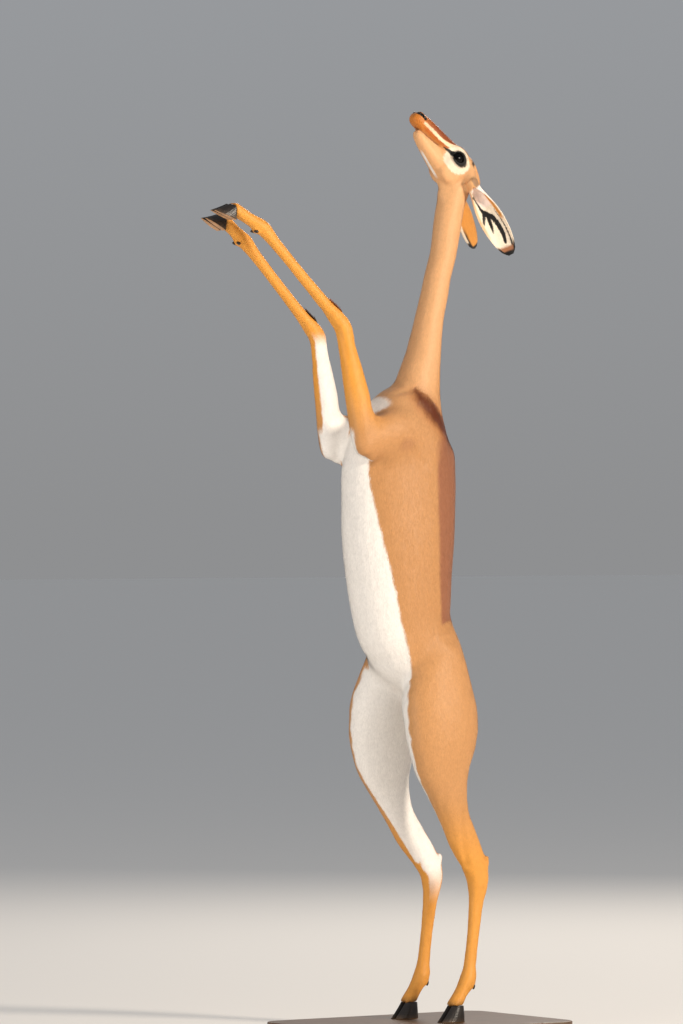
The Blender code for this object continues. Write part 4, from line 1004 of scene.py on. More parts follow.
@dataclass
class Skin:
    """The one skin under the coat, from the muzzle to the pasterns."""

    body_voxel: float = 0.0043
    head_voxel: float = 0.00155
    throat: tuple = ((0.0720, 0.0, 1.7060), (0.20, 0.0, 1.0))
    strip: float = 0.0035
    reach: float = 0.058
    latch: tuple = (0.052, 0.0, 1.768)
    latch_reach: float = 0.019
    latch_move: tuple = (-0.0100, 0.0, -0.0010)
    shoulder: tuple = (-0.105, 0.0, 1.272)
    body_swell: float = 0.0004
    head_swell: float = 0.0002
    body_rounds: int = 10
    head_rounds: int = 5
    throat_rounds: int = 30
    stem_rounds: int = 8
    shoulder_rounds: int = 60
    depth_rounds: int = 40
    most: int = 194000

    def build(self, markings: Markings) -> bpy.types.Object:
        """Makes the skin and gives it its colours.

        Args:
            markings: The coat's colours.

        Returns:
            The skin's object.
        """
        body = cad_copy(BODY_NODES, "body_form", self.body_swell)
        tail = self.tail_core()
        select(body, tail)
        bpy.ops.object.join()
        voxel_remeshed(body, self.body_voxel)
        eased(body, self.body_rounds)
        head = cad_copy(HEAD_NODES, "head_form", self.head_swell)
        ears = [EarShell(side).build() for side in (LEFT, RIGHT)]
        select(head, *ears)
        bpy.ops.object.join()
        voxel_remeshed(head, self.head_voxel)
        eased(head, self.head_rounds)
        normal = unit(np.array(self.throat[1]))
        self.open_end(head, np.array(self.throat[0]) + normal * self.strip, normal, keep_above=True)
        self.open_end(body, np.array(self.throat[0]) - normal * self.strip, normal, keep_above=False)
        select(body, head)
        bpy.ops.object.join()
        skin = self.bridged(body)
        away = np.abs((places(skin) - np.array(self.throat[0])) @ normal)
        near_cut = step(0.026, 0.006, away) * step(0.07, 0.05, self.from_neck(places(skin)))
        eased(skin, self.throat_rounds, near_cut)
        points, normals = places(skin), normals_of(skin)
        latch = bell(np.linalg.norm(points - self.latch, axis=1), self.latch_reach)
        latch = latch * step(0.2, -0.3, normals[:, 0])
        put_places(skin, points + np.array(self.latch_move) * latch[:, None])
        stems = np.min([np.linalg.norm(points - ear.root, axis=1) for ear in EARS.values()], axis=0)
        plain_eased(skin, self.stem_rounds, step(0.030, 0.014, stems))
        points = places(skin)
        shoulder = np.linalg.norm((points - self.shoulder) * [1.0, 0.0, 1.0], axis=1)
        outer = step(0.098, 0.060, shoulder) * step(0.022, 0.034, np.abs(points[:, 1]))
        plain_eased(skin, self.shoulder_rounds, outer)
        self.sculpt(skin, markings)
        self.sink(skin)
        skin.name = "skin"
        self.thin(skin)
        self.colour(skin, markings)
        return skin

    def thin(self, skin: bpy.types.Object) -> None:
        """Drops the triangles that flat places can spare."""
        count = sum(len(p.vertices) - 2 for p in skin.data.polygons)
        if count > self.most:
            modifier = skin.modifiers.new("thin", "DECIMATE")
            modifier.ratio = self.most / count
            apply_all(skin)

    def from_neck(self, points: np.ndarray) -> np.ndarray:
        """Measures how far places lie from the middle of the throat's cut."""
        return np.linalg.norm(points - np.array(self.throat[0]), axis=1)

    def tail_core(self) -> bpy.types.Object:
        """Lofts the tail's fleshy core under its hair."""
        points = [Vector((x, 0.0, z)) for x, z in TAIL_LINE]
        curve = bpy.data.curves.new("tail_core", "CURVE")
        curve.dimensions = "3D"
        curve.bevel_depth = 0.0085
        curve.bevel_resolution = 5
        curve.use_fill_caps = True
        spline = curve.splines.new("POLY")
        spline.points.add(len(points) - 1)
        for i, point in enumerate(points):
            spline.points[i].co = (*point, 1.0)
            spline.points[i].radius = 1.45 - 0.9 * i / (len(points) - 1)
        select(linked("tail_core", curve))
        bpy.ops.object.convert(target="MESH")
        return bpy.context.object

    def sculpt(self, skin: bpy.types.Object, markings: Markings) -> None:
        """Presses in nostrils, mouth line, lid creases, the fold at the neck's base and the tendons.

        Args:
            skin: The skin's object.
            markings: Gives the angle round the trunk.
        """
        points, normals = places(skin), normals_of(skin)
        zone, _, _ = zone_of(points, normals)
        s, d, y = HEAD.measure(points)
        face = (zone == Zone.HEAD.value).astype(float)
        flat = np.stack([s, d], axis=1)
        mouth, _ = near_line(flat, MOUTH_LINE)
        nostril = from_nostril(points)
        lid = eye_share(s, d)
        beside = step(0.012, 0.020, y)
        move = -0.0013 * bell(mouth, 0.0015) * step(0.088, 0.078, s)
        move = move - 0.0026 * bell(nostril, 0.0022) + 0.0006 * bell(nostril - 0.0042, 0.0014)
        move = move + 0.0010 * bell(lid - 0.84, 0.10) * beside
        move = move - 0.0009 * bell(lid - 1.24, 0.10) * beside * step(-0.016, -0.004, d)
        move = move * face
        for carving in body_carvings():
            move = move + carving.shift(points)
        turn = markings.around(points)
        at = np.interp(turn, (30.0, 59.0, 92.0, 109.0, 130.0), (1.3445, 1.3500, 1.3390, 1.3270, 1.3150))
        window = step(12.0, 34.0, turn) * step(128.0, 100.0, turn)
        gap = points[:, 2] - at
        fold = -0.0032 * bell(gap, 0.0055) + 0.0018 * bell(gap + 0.016, 0.011)
        move = move + fold * window * (zone != Zone.FORE.value)
        put_places(skin, points + normals * move[:, None])

    def open_end(self, obj: bpy.types.Object, point: np.ndarray, normal: np.ndarray,
                 keep_above: bool) -> None:
        """Cuts the form open across the throat.

        Args:
            obj: The form.
            point: A place on the cut.
            normal: The cut's direction, towards the head.
            keep_above: Whether the head's side stays.
        """
        bm = bmesh.new()
        bm.from_mesh(obj.data)
        centre = Vector(self.throat[0])
        faces = [f for f in bm.faces if (f.calc_center_median() - centre).length < self.reach]
        verts = {v for f in faces for v in f.verts}
        edges = {e for f in faces for e in f.edges}
        bmesh.ops.bisect_plane(
            bm, geom=list(verts) + list(edges) + faces, dist=1e-6, plane_co=Vector(point),
            plane_no=Vector(normal), clear_outer=not keep_above, clear_inner=keep_above)
        bm.to_mesh(obj.data)
        bm.free()

    def bridged(self, obj: bpy.types.Object) -> bpy.types.Object:
        """Closes the strip between the two open ends."""
        bm = bmesh.new()
        bm.from_mesh(obj.data)
        rims = [e for e in bm.edges if e.is_boundary]
        bmesh.ops.bridge_loops(bm, edges=rims)
        bmesh.ops.triangulate(bm, faces=[f for f in bm.faces if len(f.verts) > 4])
        left = sum(1 for e in bm.edges if e.is_boundary)
        bmesh.ops.recalc_face_normals(bm, faces=bm.faces)
        bm.to_mesh(obj.data)
        bm.free()
        log.info("throat bridged from %d rim edges, %d left open", len(rims), left)
        return obj

    def sink(self, skin: bpy.types.Object) -> None:
        """Moves the skin inwards by the coat's depth, but not on the lids, lips and nose."""
        points, normals = places(skin), normals_of(skin)
        s, d, _ = HEAD.measure(points)
        depth = Neighbours(skin).spread(self.depth(points, normals), self.depth_rounds)
        face = zone_of(points, normals)[0] == Zone.HEAD.value
        bare = np.where(face, step(0.95, 1.25, eye_share(s, d)) * step(0.010, 0.022, s), 1.0)
        put_places(skin, points - normals * (depth * bare)[:, None])

    @staticmethod
    def depth(points: np.ndarray, normals: np.ndarray) -> np.ndarray:
        """Gives the coat's depth at each place."""
        zone, _, _ = zone_of(points, normals)
        result = np.zeros(len(points))
        for name, value in DEPTHS.items():
            result[zone == name.value] = value
        z = points[:, 2]
        leg = SHANK_DEPTH + (DEPTHS[Zone.HIND] - SHANK_DEPTH) * step(0.30, 0.55, z)
        result = np.where(zone == Zone.HIND.value, leg, result)
        arm = SHANK_DEPTH + UPPER_ARM_EXTRA * step(1.40, 1.26, z)
        return np.where(zone == Zone.FORE.value, arm, result)

    def colour(self, skin: bpy.types.Object, markings: Markings) -> None:
        """Writes the markings on the skin as an attribute."""
        shade_smooth(skin)
        write_tint(skin, markings.colours(places(skin), normals_of(skin)))


def write_tint(obj: bpy.types.Object, tint: np.ndarray) -> None:
    """Keeps one linear colour for each vertex in the attribute that the materials read."""
    attribute = obj.data.color_attributes.new("coat_tint", "FLOAT_COLOR", "POINT")
    full = np.ones((len(tint), 4), np.float32)
    full[:, :3] = np.clip(tint, 0.0, 1.0)
    attribute.data.foreach_set("color", full.ravel())


@dataclass(frozen=True)
class Cut:
    """How the hair of one coat piece is cut: how many tufts, and how long, wide and raised they are."""

    name: str
    zones: tuple
    tufts: int
    length: float
    width: float
    lift: float
    side: int = 0
    above: float = -1.0
    below: float = 9.0


CUTS = (
    Cut("coat_head", (Zone.HEAD,), 50000, 0.0050, 0.0009, 0.0003),
    Cut("coat_ears", (Zone.EAR,), 34000, 0.0030, 0.0008, 0.0002),
    Cut("coat_neck", (Zone.NECK,), 56000, 0.0088, 0.0012, 0.0004),
    Cut("coat_chest", (Zone.TRUNK,), 58000, 0.0105, 0.0015, 0.0005, above=1.12),
    Cut("coat_belly", (Zone.TRUNK,), 56000, 0.0108, 0.0015, 0.0005, above=0.93, below=1.12),
    Cut("coat_rump", (Zone.TRUNK,), 56000, 0.0105, 0.0015, 0.0005, below=0.93),
    Cut("coat_hind_left", (Zone.HIND,), 54000, 0.0082, 0.0013, 0.0004, side=LEFT),
    Cut("coat_hind_right", (Zone.HIND,), 54000, 0.0082, 0.0013, 0.0004, side=RIGHT),
    Cut("coat_fore", (Zone.FORE,), 50000, 0.0064, 0.0011, 0.0003),
    Cut("coat_tail", (Zone.TAIL,), 10000, 0.0110, 0.0012, 0.0018),
)


class Hide:
    """The skin's triangles as arrays, for planting tufts."""

    def __init__(self, skin: bpy.types.Object, seed: int = 11) -> None:
        """Reads the skin's triangles, normals and zones."""
        mesh = skin.data
        mesh.calc_loop_triangles()
        corners = np.empty(len(mesh.loop_triangles) * 3, np.int32)
        mesh.loop_triangles.foreach_get("vertices", corners)
        self.corners = corners.reshape(-1, 3)
        self.points = places(skin)
        self.normals = normals_of(skin)
        a, b, c = (self.points[self.corners[:, i]] for i in range(3))
        self.areas = 0.5 * np.linalg.norm(np.cross(b - a, c - a), axis=1)
        self.centres = (a + b + c) / 3.0
        self.zone, self.side, _ = zone_of(self.centres, unit(np.cross(b - a, c - a)))
        self.rng = np.random.default_rng(seed)

    def plant(self, chosen: np.ndarray, count: int) -> tuple:
        """Picks root places evenly over some of the triangles.

        Args:
            chosen: Which triangles.
            count: How many roots.

        Returns:
            Root places and the skin's directions there.
        """
        index = np.flatnonzero(chosen)
        weights = self.areas[index]
        picks = self.rng.choice(index, size=count, p=weights / weights.sum())
        r1 = np.sqrt(self.rng.random(count))
        r2 = self.rng.random(count)
        shares = np.stack([1.0 - r1, r1 * (1.0 - r2), r1 * r2], axis=1)
        tri = self.corners[picks]
        roots = (self.points[tri] * shares[:, :, None]).sum(1)
        ups = unit((self.normals[tri] * shares[:, :, None]).sum(1))
        return roots, ups


def unwrap(points: np.ndarray, zones: np.ndarray, sides: np.ndarray) -> np.ndarray:
    """Lays the hide flat round its own bones: once round each part is the width of its strip.

    Args:
        points: Places on the hide.
        zones: Their zones.
        sides: Their sides.

    Returns:
        Flat places from 0 to 1.
    """
    result = np.zeros((len(points), 2))
    for value in np.unique(zones):
        for side in (LEFT, RIGHT):
            chosen = (zones == value) & (sides == side)
            if not chosen.any():
                continue
            paired = value in (Zone.HIND.value, Zone.FORE.value, Zone.EAR.value)
            bones = [b for b in MAP.bones if b.zone.value == value and (b.side == side or not paired)]
            start = np.array([b.start for b in bones])
            span = np.array([b.end for b in bones]) - start
            lengths = np.linalg.norm(span, axis=1)
            p = points[chosen]
            away = p[:, None, :] - start
            t = np.clip((away * span).sum(2) / (lengths**2), 0.0, 1.0)
            gap = away - t[:, :, None] * span
            near = np.linalg.norm(gap, axis=2).argmin(1)
            rows = np.arange(len(p))
            run = np.concatenate([[0.0], np.cumsum(lengths)])
            along = (run[near] + t[rows, near] * lengths[near]) / run[-1]
            out = gap[rows, near]
            turn = np.arctan2(out[:, 1], -out[:, 0]) / (2.0 * math.pi) + 0.5
            if paired:
                turn = turn * 0.49 + (0.0 if side == LEFT else 0.5)
            result[chosen] = np.stack([0.02 + 0.96 * turn, 0.02 + 0.96 * along], axis=1)
    return result


class Coat:
    """Plants the short tufts of one piece of coat and joins them as one mesh.

    Each tuft has a flat root, a middle and a tip. The angles are full ranges in radians, and the
    shares are of a tuft's length or lift.
    """

    patch = 0.003
    swing = 0.28
    roll = 0.14
    rooted = 0.0002
    middle_lift = 0.62
    middle_slack = 0.2
    tip_slack = 0.35
    tone_range = 0.13
    # Brightness at a tuft's five vertices, root to tip: painted shade at the root, slightly lighter at the
    # tip
    painted_root_shade = (0.95, 0.95, 1.0, 1.0, 1.04)
    lean_along = 0.30
    lean_across = 0.22
    face_jitter = 0.0007
    body_jitter = 0.0022

    def __init__(self, hide: Hide, markings: Markings) -> None:
        """Keeps what the tufts grow on and their colours."""
        self.hide = hide
        self.markings = markings
        self.rng = np.random.default_rng(23)
        self.tree = BVHTree.FromPolygons(hide.points.tolist(), hide.corners.tolist())

    def settled(self, spots: np.ndarray, lift: np.ndarray, slack: np.ndarray) -> np.ndarray:
        """Lays places of tufts back on the skin, so that hair follows hollows and bulges.

        Args:
            spots: Places along straight tufts.
            lift: How far above the skin each one ends up.
            slack: Places further from the skin than this overhang its edge, and stay.

        Returns:
            The new places.
        """
        found = [self.tree.find_nearest(spot) for spot in spots.tolist()]
        on_skin = np.array([hit[0] for hit in found])
        out = np.array([hit[1] for hit in found])
        gap = np.array([hit[3] for hit in found])
        return np.where((gap < slack)[:, None], on_skin + out * lift[:, None], spots)

    def choose(self, cut: Cut) -> np.ndarray:
        """Picks the skin triangles that a piece of coat covers."""
        hide = self.hide
        chosen = np.isin(hide.zone, [z.value for z in cut.zones])
        z = hide.centres[:, 2]
        chosen &= (z >= cut.above) & (z < cut.below)
        if cut.side:
            chosen &= hide.side == cut.side
        s, d, y = HEAD.measure(hide.centres)
        face = hide.zone == Zone.HEAD.value
        eye = (eye_share(s, d) < 0.93) & (y > 0.012)
        nose = (s < 0.004) | (from_nostril(hide.centres) < 0.0036)
        return chosen & ~(face & (eye | nose))

    def build(self, cut: Cut) -> bpy.types.Object:
        """Makes one piece of coat.

        Args:
            cut: How its hair is cut.

        Returns:
            The piece's object.
        """
        roots, ups = self.hide.plant(self.choose(cut), cut.tufts)
        zones, sides, ways = zone_of(roots, ups)
        rng, count = self.rng, len(roots)
        size = 0.72 + 0.56 * rng.random(count)
        size *= self.shortness(roots, zones)
        lie = unit(ways - ups * (ways * ups).sum(1)[:, None])
        side = np.cross(ups, lie)
        swing = (rng.random(count) - 0.5) * self.swing
        lie = unit(lie * np.cos(swing)[:, None] + side * np.sin(swing)[:, None])
        roll = (rng.random(count) - 0.5) * self.roll
        side = np.cross(ups, lie)
        flat = unit(side * np.cos(roll)[:, None] + ups * np.sin(roll)[:, None])
        length = cut.length * size
        width = cut.width * (0.8 + 0.4 * rng.random(count)) * np.sqrt(size)
        lift = cut.lift * size * (0.55 + 0.6 * rng.random(count))
        root = roots - ups * self.rooted
        halfway = roots + lie * (length * 0.5)[:, None]
        mid = self.settled(halfway, lift * self.middle_lift, length * self.middle_slack)
        tip = self.settled(roots + lie * length[:, None], lift, length * self.tip_slack)
        wide = flat * (width * 0.5)[:, None]
        vertices = np.stack([root - wide, root + wide, mid - wide, mid + wide, tip], axis=1)
        fine = np.isin(zones, (Zone.HEAD.value, Zone.EAR.value))
        jitter = np.where(fine, self.face_jitter, self.body_jitter)[:, None]
        tint = self.markings.colours(roots + (rng.random((count, 3)) - 0.5) * jitter, ups)
        tone = 1.0 + (rng.random(count) - 0.5) * self.tone_range
        colours = tint[:, None, :] * tone[:, None, None] * np.array(self.painted_root_shade)[None, :, None]
        flat_place = unwrap(roots, zones, sides)
        lean = lie * ((rng.random(count) - 0.5) * self.lean_along)[:, None]
        lean = lean + side * ((rng.random(count) - 0.5) * self.lean_across)[:, None]
        return self.joined(cut.name, vertices, colours, flat_place, unit(ups + lean))

    @staticmethod
    def shortness(roots: np.ndarray, zones: np.ndarray) -> np.ndarray:
        """Gives how much shorter the hair is on the muzzle and feet."""
        s, d, _ = HEAD.measure(roots)
        z = roots[:, 2]
        result = np.ones(len(roots))
        poll = 1.0 - 0.45 * step(0.155, 0.180, s) * step(-0.010, 0.004, d)
        result = np.where(zones == Zone.HEAD.value, (0.40 + 0.60 * step(0.02, 0.17, s)) * poll, result)
        result = np.where(zones == Zone.NECK.value, (0.58 + 0.42 * step(1.760, 1.60, z)) * poll, result)
        for side, ear in EARS.items():
            u, v, _ = ear.measure(roots)
            rim = np.maximum(step(0.70, 0.90, np.abs(v)), step(0.84, 0.93, u))
            result = np.where((zones == Zone.EAR.value) & (roots[:, 1] * side > 0), 1.0 - 0.62 * rim, result)
        result = np.where(zones == Zone.HIND.value, 0.55 + 0.45 * step(0.25, 0.60, z), result)
        return np.where(zones == Zone.FORE.value, 0.70 + 0.30 * step(1.50, 1.30, z), result)

    def joined(self, name: str, vertices: np.ndarray, colours: np.ndarray, flat: np.ndarray,
               facing: np.ndarray) -> bpy.types.Object:
        """Joins tufts of five vertices and three triangles each into one mesh.

        Args:
            name: The piece's name.
            vertices: Places, five for each tuft.
            colours: Linear colours for the same.
            flat: Each tuft's place on the unwrapped skin.
            facing: The direction that each tuft is shaded by, close to the skin's, so that hair
                which lies flat looks sleek.

        Returns:
            The piece's object.
        """
        count = len(vertices)
        base = (np.arange(count) * 5)[:, None, None]
        pattern = np.array([(0, 3, 1), (0, 2, 3), (2, 4, 3)])
        corners = (base + pattern[None]).reshape(-1)
        spots = np.array([(-0.5, -0.5), (0.5, -0.5), (-0.5, 0.0), (0.5, 0.0), (0.0, 0.5)]) * self.patch
        mesh = bpy.data.meshes.new(name)
        mesh.vertices.add(count * 5)
        mesh.vertices.foreach_set("co", vertices.reshape(-1).astype(np.float32))
        mesh.loops.add(len(corners))
        mesh.loops.foreach_set("vertex_index", corners.astype(np.int32))
        mesh.polygons.add(count * 3)
        mesh.polygons.foreach_set("loop_start", np.arange(0, len(corners), 3, dtype=np.int32))
        mesh.polygons.foreach_set("use_smooth", np.ones(count * 3, dtype=bool))
        uv = mesh.uv_layers.new(name="OFBake")
        on_vertex = (flat[:, None, :] + spots[None]).reshape(-1, 2)
        uv.data.foreach_set("uv", on_vertex[corners].reshape(-1).astype(np.float32))
        mesh.update(calc_edges=True)
        mesh.normals_split_custom_set_from_vertices(np.repeat(facing, 5, axis=0).astype(np.float32))
        obj = linked(name, mesh)
        write_tint(obj, colours.reshape(-1, 3))
        return obj


def add(tree: bpy.types.NodeTree, kind: str, settings: dict | None = None,
        **sockets: object) -> bpy.types.Node:
    """Adds a shader node with its settings, values and links.

    Args:
        tree: The node tree.
        kind: The node's type name.
        settings: Properties of the node.
        sockets: Input name, with _ for a space, to a value or to a socket to link from.

    Returns:
        The node.
    """
    node = tree.nodes.new(kind)
    for name, value in (settings or {}).items():
        setattr(node, name, value)
    for name, value in sockets.items():
        key = int(name[1:]) if name[1:].isdigit() and name[0] == "i" else name.replace("_", " ")
        if isinstance(value, bpy.types.NodeSocket):
            tree.links.new(value, node.inputs[key])
        else:
            node.inputs[key].default_value = value
    return node


def new_material(name: str) -> tuple:
    """Makes an empty node material.

    Args:
        name: The material's name.

    Returns:
        The material, its tree and its output node.
    """
    material = bpy.data.materials.new(name)
    material.use_nodes = True
    tree = material.node_tree
    tree.nodes.clear()
    return material, tree, tree.nodes.new("ShaderNodeOutputMaterial")


@dataclass(frozen=True)
class ShortCoat:
    """Short glossy antelope hair; the tint comes from the markings, with faint flecks of shade."""

    name: str = "short_glossy_hair"
    roughness: float = 0.50
    fleck_mm: float = 9.0
    hair_mm: float = 1.6
    bump: float = 0.0

    def make(self) -> bpy.types.Material:
        """Builds the material."""
        material, tree, out = new_material(self.name)
        tint = add(tree, "ShaderNodeAttribute", {"attribute_name": "coat_tint"})
        place = add(tree, "ShaderNodeTexCoord")
        fleck = add(tree, "ShaderNodeTexNoise", Vector=place.outputs["Object"], Scale=1000.0 / self.fleck_mm,
                    Detail=4.0, Roughness=0.6)
        tone = add(tree, "ShaderNodeMapRange", Value=fleck.outputs["Fac"], From_Min=0.25, From_Max=0.75,
                   To_Min=0.95, To_Max=1.05)
        shade = add(tree, "ShaderNodeVectorMath", {"operation": "SCALE"}, i0=tint.outputs["Color"],
                    Scale=tone.outputs["Result"])
        shader = add(tree, "ShaderNodeBsdfPrincipled", Base_Color=shade.outputs["Vector"],
                     Roughness=self.roughness)
        shader.inputs["Specular IOR Level"].default_value = 0.30
        shader.inputs["Sheen Weight"].default_value = 0.12
        shader.inputs["Sheen Roughness"].default_value = 0.4
        if self.bump:
            fine = add(tree, "ShaderNodeTexNoise", Vector=place.outputs["Object"],
                       Scale=1000.0 / self.hair_mm, Detail=3.0)
            dents = add(tree, "ShaderNodeBump", Height=fine.outputs["Fac"], Strength=self.bump,
                        Distance=0.0008)
            tree.links.new(dents.outputs["Normal"], shader.inputs["Normal"])
        tree.links.new(shader.outputs["BSDF"], out.inputs["Surface"])
        return material


@dataclass(frozen=True)
class HoofHorn:
    """Black keratin, worn smooth, with pale scuffs; its tint turns tan on the sole."""

    name: str = "black_hoof_horn"
    scuff_mm: float = 11.0

    def make(self) -> bpy.types.Material:
        """Builds the material."""
        material, tree, out = new_material(self.name)
        place = add(tree, "ShaderNodeTexCoord")
        tint = add(tree, "ShaderNodeAttribute", {"attribute_name": "coat_tint"})
        wear = add(tree, "ShaderNodeTexNoise", Vector=place.outputs["Object"], Scale=1000.0 / self.scuff_mm,
                   Detail=5.0)
        tone = add(tree, "ShaderNodeMapRange", Value=wear.outputs["Fac"], From_Min=0.3, From_Max=0.75,
                   To_Min=0.75, To_Max=1.7)
        shade = add(tree, "ShaderNodeVectorMath", {"operation": "SCALE"}, i0=tint.outputs["Color"],
                    Scale=tone.outputs["Result"])
        dents = add(tree, "ShaderNodeBump", Height=wear.outputs["Fac"], Strength=0.2, Distance=0.0004)
        shader = add(tree, "ShaderNodeBsdfPrincipled", Base_Color=shade.outputs["Vector"], Roughness=0.36,
                     Normal=dents.outputs["Normal"])
        tree.links.new(shader.outputs["BSDF"], out.inputs["Surface"])
        return material


@dataclass(frozen=True)
class WetEye:
    """A wet eye, nearly black; its tint comes from the eyeball."""

    name: str = "wet_dark_eye"

    def make(self) -> bpy.types.Material:
        """Builds the material."""
        material, tree, out = new_material(self.name)
        tint = add(tree, "ShaderNodeAttribute", {"attribute_name": "coat_tint"})
        shader = add(tree, "ShaderNodeBsdfPrincipled", Base_Color=tint.outputs["Color"], Roughness=0.06)
        shader.inputs["IOR"].default_value = 1.34
        shader.inputs["Specular IOR Level"].default_value = 0.25
        tree.links.new(shader.outputs["BSDF"], out.inputs["Surface"])
        return material


@dataclass(frozen=True)
class StainedOak:
    """An oak board stained dark and lacquered: long grain along X, fine pores and a satin shine."""

    name: str = "dark_stained_oak"
    light: str = "70543c"
    dark: str = "4a3626"
    grain_mm: float = 5.0

    def make(self) -> bpy.types.Material:
        """Builds the material."""
        material, tree, out = new_material(self.name)
        place = add(tree, "ShaderNodeTexCoord")
        stretch = add(tree, "ShaderNodeMapping", Vector=place.outputs["Object"], Scale=(0.06, 1.0, 1.0))
        warp = add(tree, "ShaderNodeTexNoise", Vector=stretch.outputs["Vector"], Scale=1000.0 / self.grain_mm,
                   Detail=6.0, Roughness=0.62, Distortion=0.6)
        shade = add(tree, "ShaderNodeValToRGB", Fac=warp.outputs["Fac"])
        shade.color_ramp.elements[0].position = 0.34
        shade.color_ramp.elements[0].color = rgba(self.dark)
        shade.color_ramp.elements[1].position = 0.66
        shade.color_ramp.elements[1].color = rgba(self.light)
        dents = add(tree, "ShaderNodeBump", Height=warp.outputs["Fac"], Strength=0.15, Distance=0.0006)
        shader = add(tree, "ShaderNodeBsdfPrincipled", Base_Color=shade.outputs["Color"], Roughness=0.42,
                     Normal=dents.outputs["Normal"])
        tree.links.new(shader.outputs["BSDF"], out.inputs["Surface"])
        return material


@dataclass
class Eyes:
    """The eyeballs, each nearly black, with a bulge in front and a barely darker, long, level pupil."""

    radius: float = 0.0182
    at: tuple = (0.1309, -0.0100, 0.0212)
    iris: str = "070403"
    pupil: str = "030202"
    rim: str = "040303"
    lash: str = "0c0a09"
    lash_count: int = 44
    lash_length: float = 0.0075

    def frame(self, side: int) -> tuple:
        """Gives an eye's centre, the way it looks, and its long and high directions."""
        centre = HEAD.place(self.at[0], self.at[1], self.at[2] * side)
        gaze = unit(np.array([0.0, float(side), 0.0]) - HEAD.along * 0.22 + HEAD.dorsal * 0.10)
        long_way = unit(HEAD.along - gaze * (HEAD.along @ gaze))
        return centre, gaze, long_way, np.cross(gaze, long_way)

    def build(self, side: int, material: bpy.types.Material) -> bpy.types.Object:
        """Makes one eye.

        Args:
            side: Which eye.
            material: Its finish.

        Returns:
            The eye's object.
        """
        centre, gaze, long_way, high_way = self.frame(side)
        deselect()
        bpy.ops.mesh.primitive_uv_sphere_add(segments=64, ring_count=40, radius=self.radius)
        eye = bpy.context.object
        eye.name = f"eye_detail_{SIDE_NAMES[side]}"
        turn = Matrix(np.stack([long_way, high_way, gaze], axis=1).tolist())
        points = places(eye)
        flat = np.hypot(points[:, 0], points[:, 1])
        bulge = 0.0011 * step(0.0125, 0.0030, flat) * (points[:, 2] > 0)
        points[:, 2] += bulge
        tint = np.tile(linear(self.iris), (len(points), 1))
        long_oval = np.hypot(points[:, 0] * 0.55, points[:, 1])
        tint = mix(tint, linear(self.pupil), 1.0 - step(0.0035, 0.0060, long_oval))
        tint = mix(tint, linear(self.rim), step(0.0100, 0.0120, flat))
        world = points @ np.array(turn).T + centre
        put_places(eye, world)
        shade_smooth(eye)
        write_tint(eye, tint)
        eye.data.materials.append(material)
        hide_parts(f"eye_{SIDE_NAMES[side]}")
        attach(eye, "root")
        return eye

    def lashes(self, skin: bpy.types.Object) -> bpy.types.Object:
        """Sets a row of fine curved lashes along each upper lid.

        Args:
            skin: The skin that carries them.

        Returns:
            The lashes of both eyes as one object.
        """
        tree = tree_of(skin)
        rng = np.random.default_rng(3)
        rows, points, faces = 5, [], []
        for side in (LEFT, RIGHT):
            for turn in np.radians(np.linspace(28.0, 162.0, self.lash_count)):
                s = EYE_AT[0] + EYE_AT[2] * 0.80 * math.cos(turn)
                d = EYE_AT[1] + EYE_AT[3] * 0.80 * math.sin(turn)
                hit = tree.ray_cast(Vector(HEAD.place(s, d, 0.08 * side)), Vector((0.0, -float(side), 0.0)))
                if hit[0] is None:
                    continue
                root = np.array(hit[0])
                fan = HEAD.along * math.cos(turn) * 0.8 + HEAD.dorsal * (0.25 + 0.3 * math.sin(turn))
                out = unit(np.array([0.0, float(side), 0.0]) + fan)
                length = self.lash_length * (0.75 + 0.4 * rng.random())
                bend = HEAD.dorsal * 0.0022
                wide = unit(np.cross(out, HEAD.dorsal)) * 0.00022
                base = len(points)
                for j in range(rows):
                    t = j / (rows - 1)
                    place = root + out * length * t + bend * t * t
                    points += [place - wide * (1.0 - 0.85 * t), place + wide * (1.0 - 0.85 * t)]
                faces += [(a, a + 1, a + 3, a + 2) for a in range(base, base + 2 * (rows - 1), 2)]
        made = mesh_object("coat_lashes", np.array(points), faces)
        write_tint(made, np.tile(linear(self.lash), (len(points), 1)))
        patch_uv(made, 2 * rows)
        return made


def patch_uv(obj: bpy.types.Object, per: int) -> None:
    """Gives each strand of an even number of vertices its own small patch on the unwrap.

    Args:
        obj: The mesh, with per vertices for each strand, two at each step of its length.
        per: How many vertices a strand has.
    """
    points = places(obj)
    roots = 0.5 * (points[0::per] + points[1::per])
    zone, side, _ = zone_of(roots, roots)
    flat = unwrap(roots, zone, side)
    uv = obj.data.uv_layers.new(name="OFBake")
    index = np.empty(len(obj.data.loops), np.int32)
    obj.data.loops.foreach_get("vertex_index", index)
    owner, within = index // per, index % per
    spots = flat[owner]
    spots[:, 0] += (within % 2 - 0.5) * Coat.patch
    spots[:, 1] += (within // 2 / (per // 2 - 1) - 0.5) * Coat.patch
    uv.data.foreach_set("uv", spots.reshape(-1).astype(np.float32))


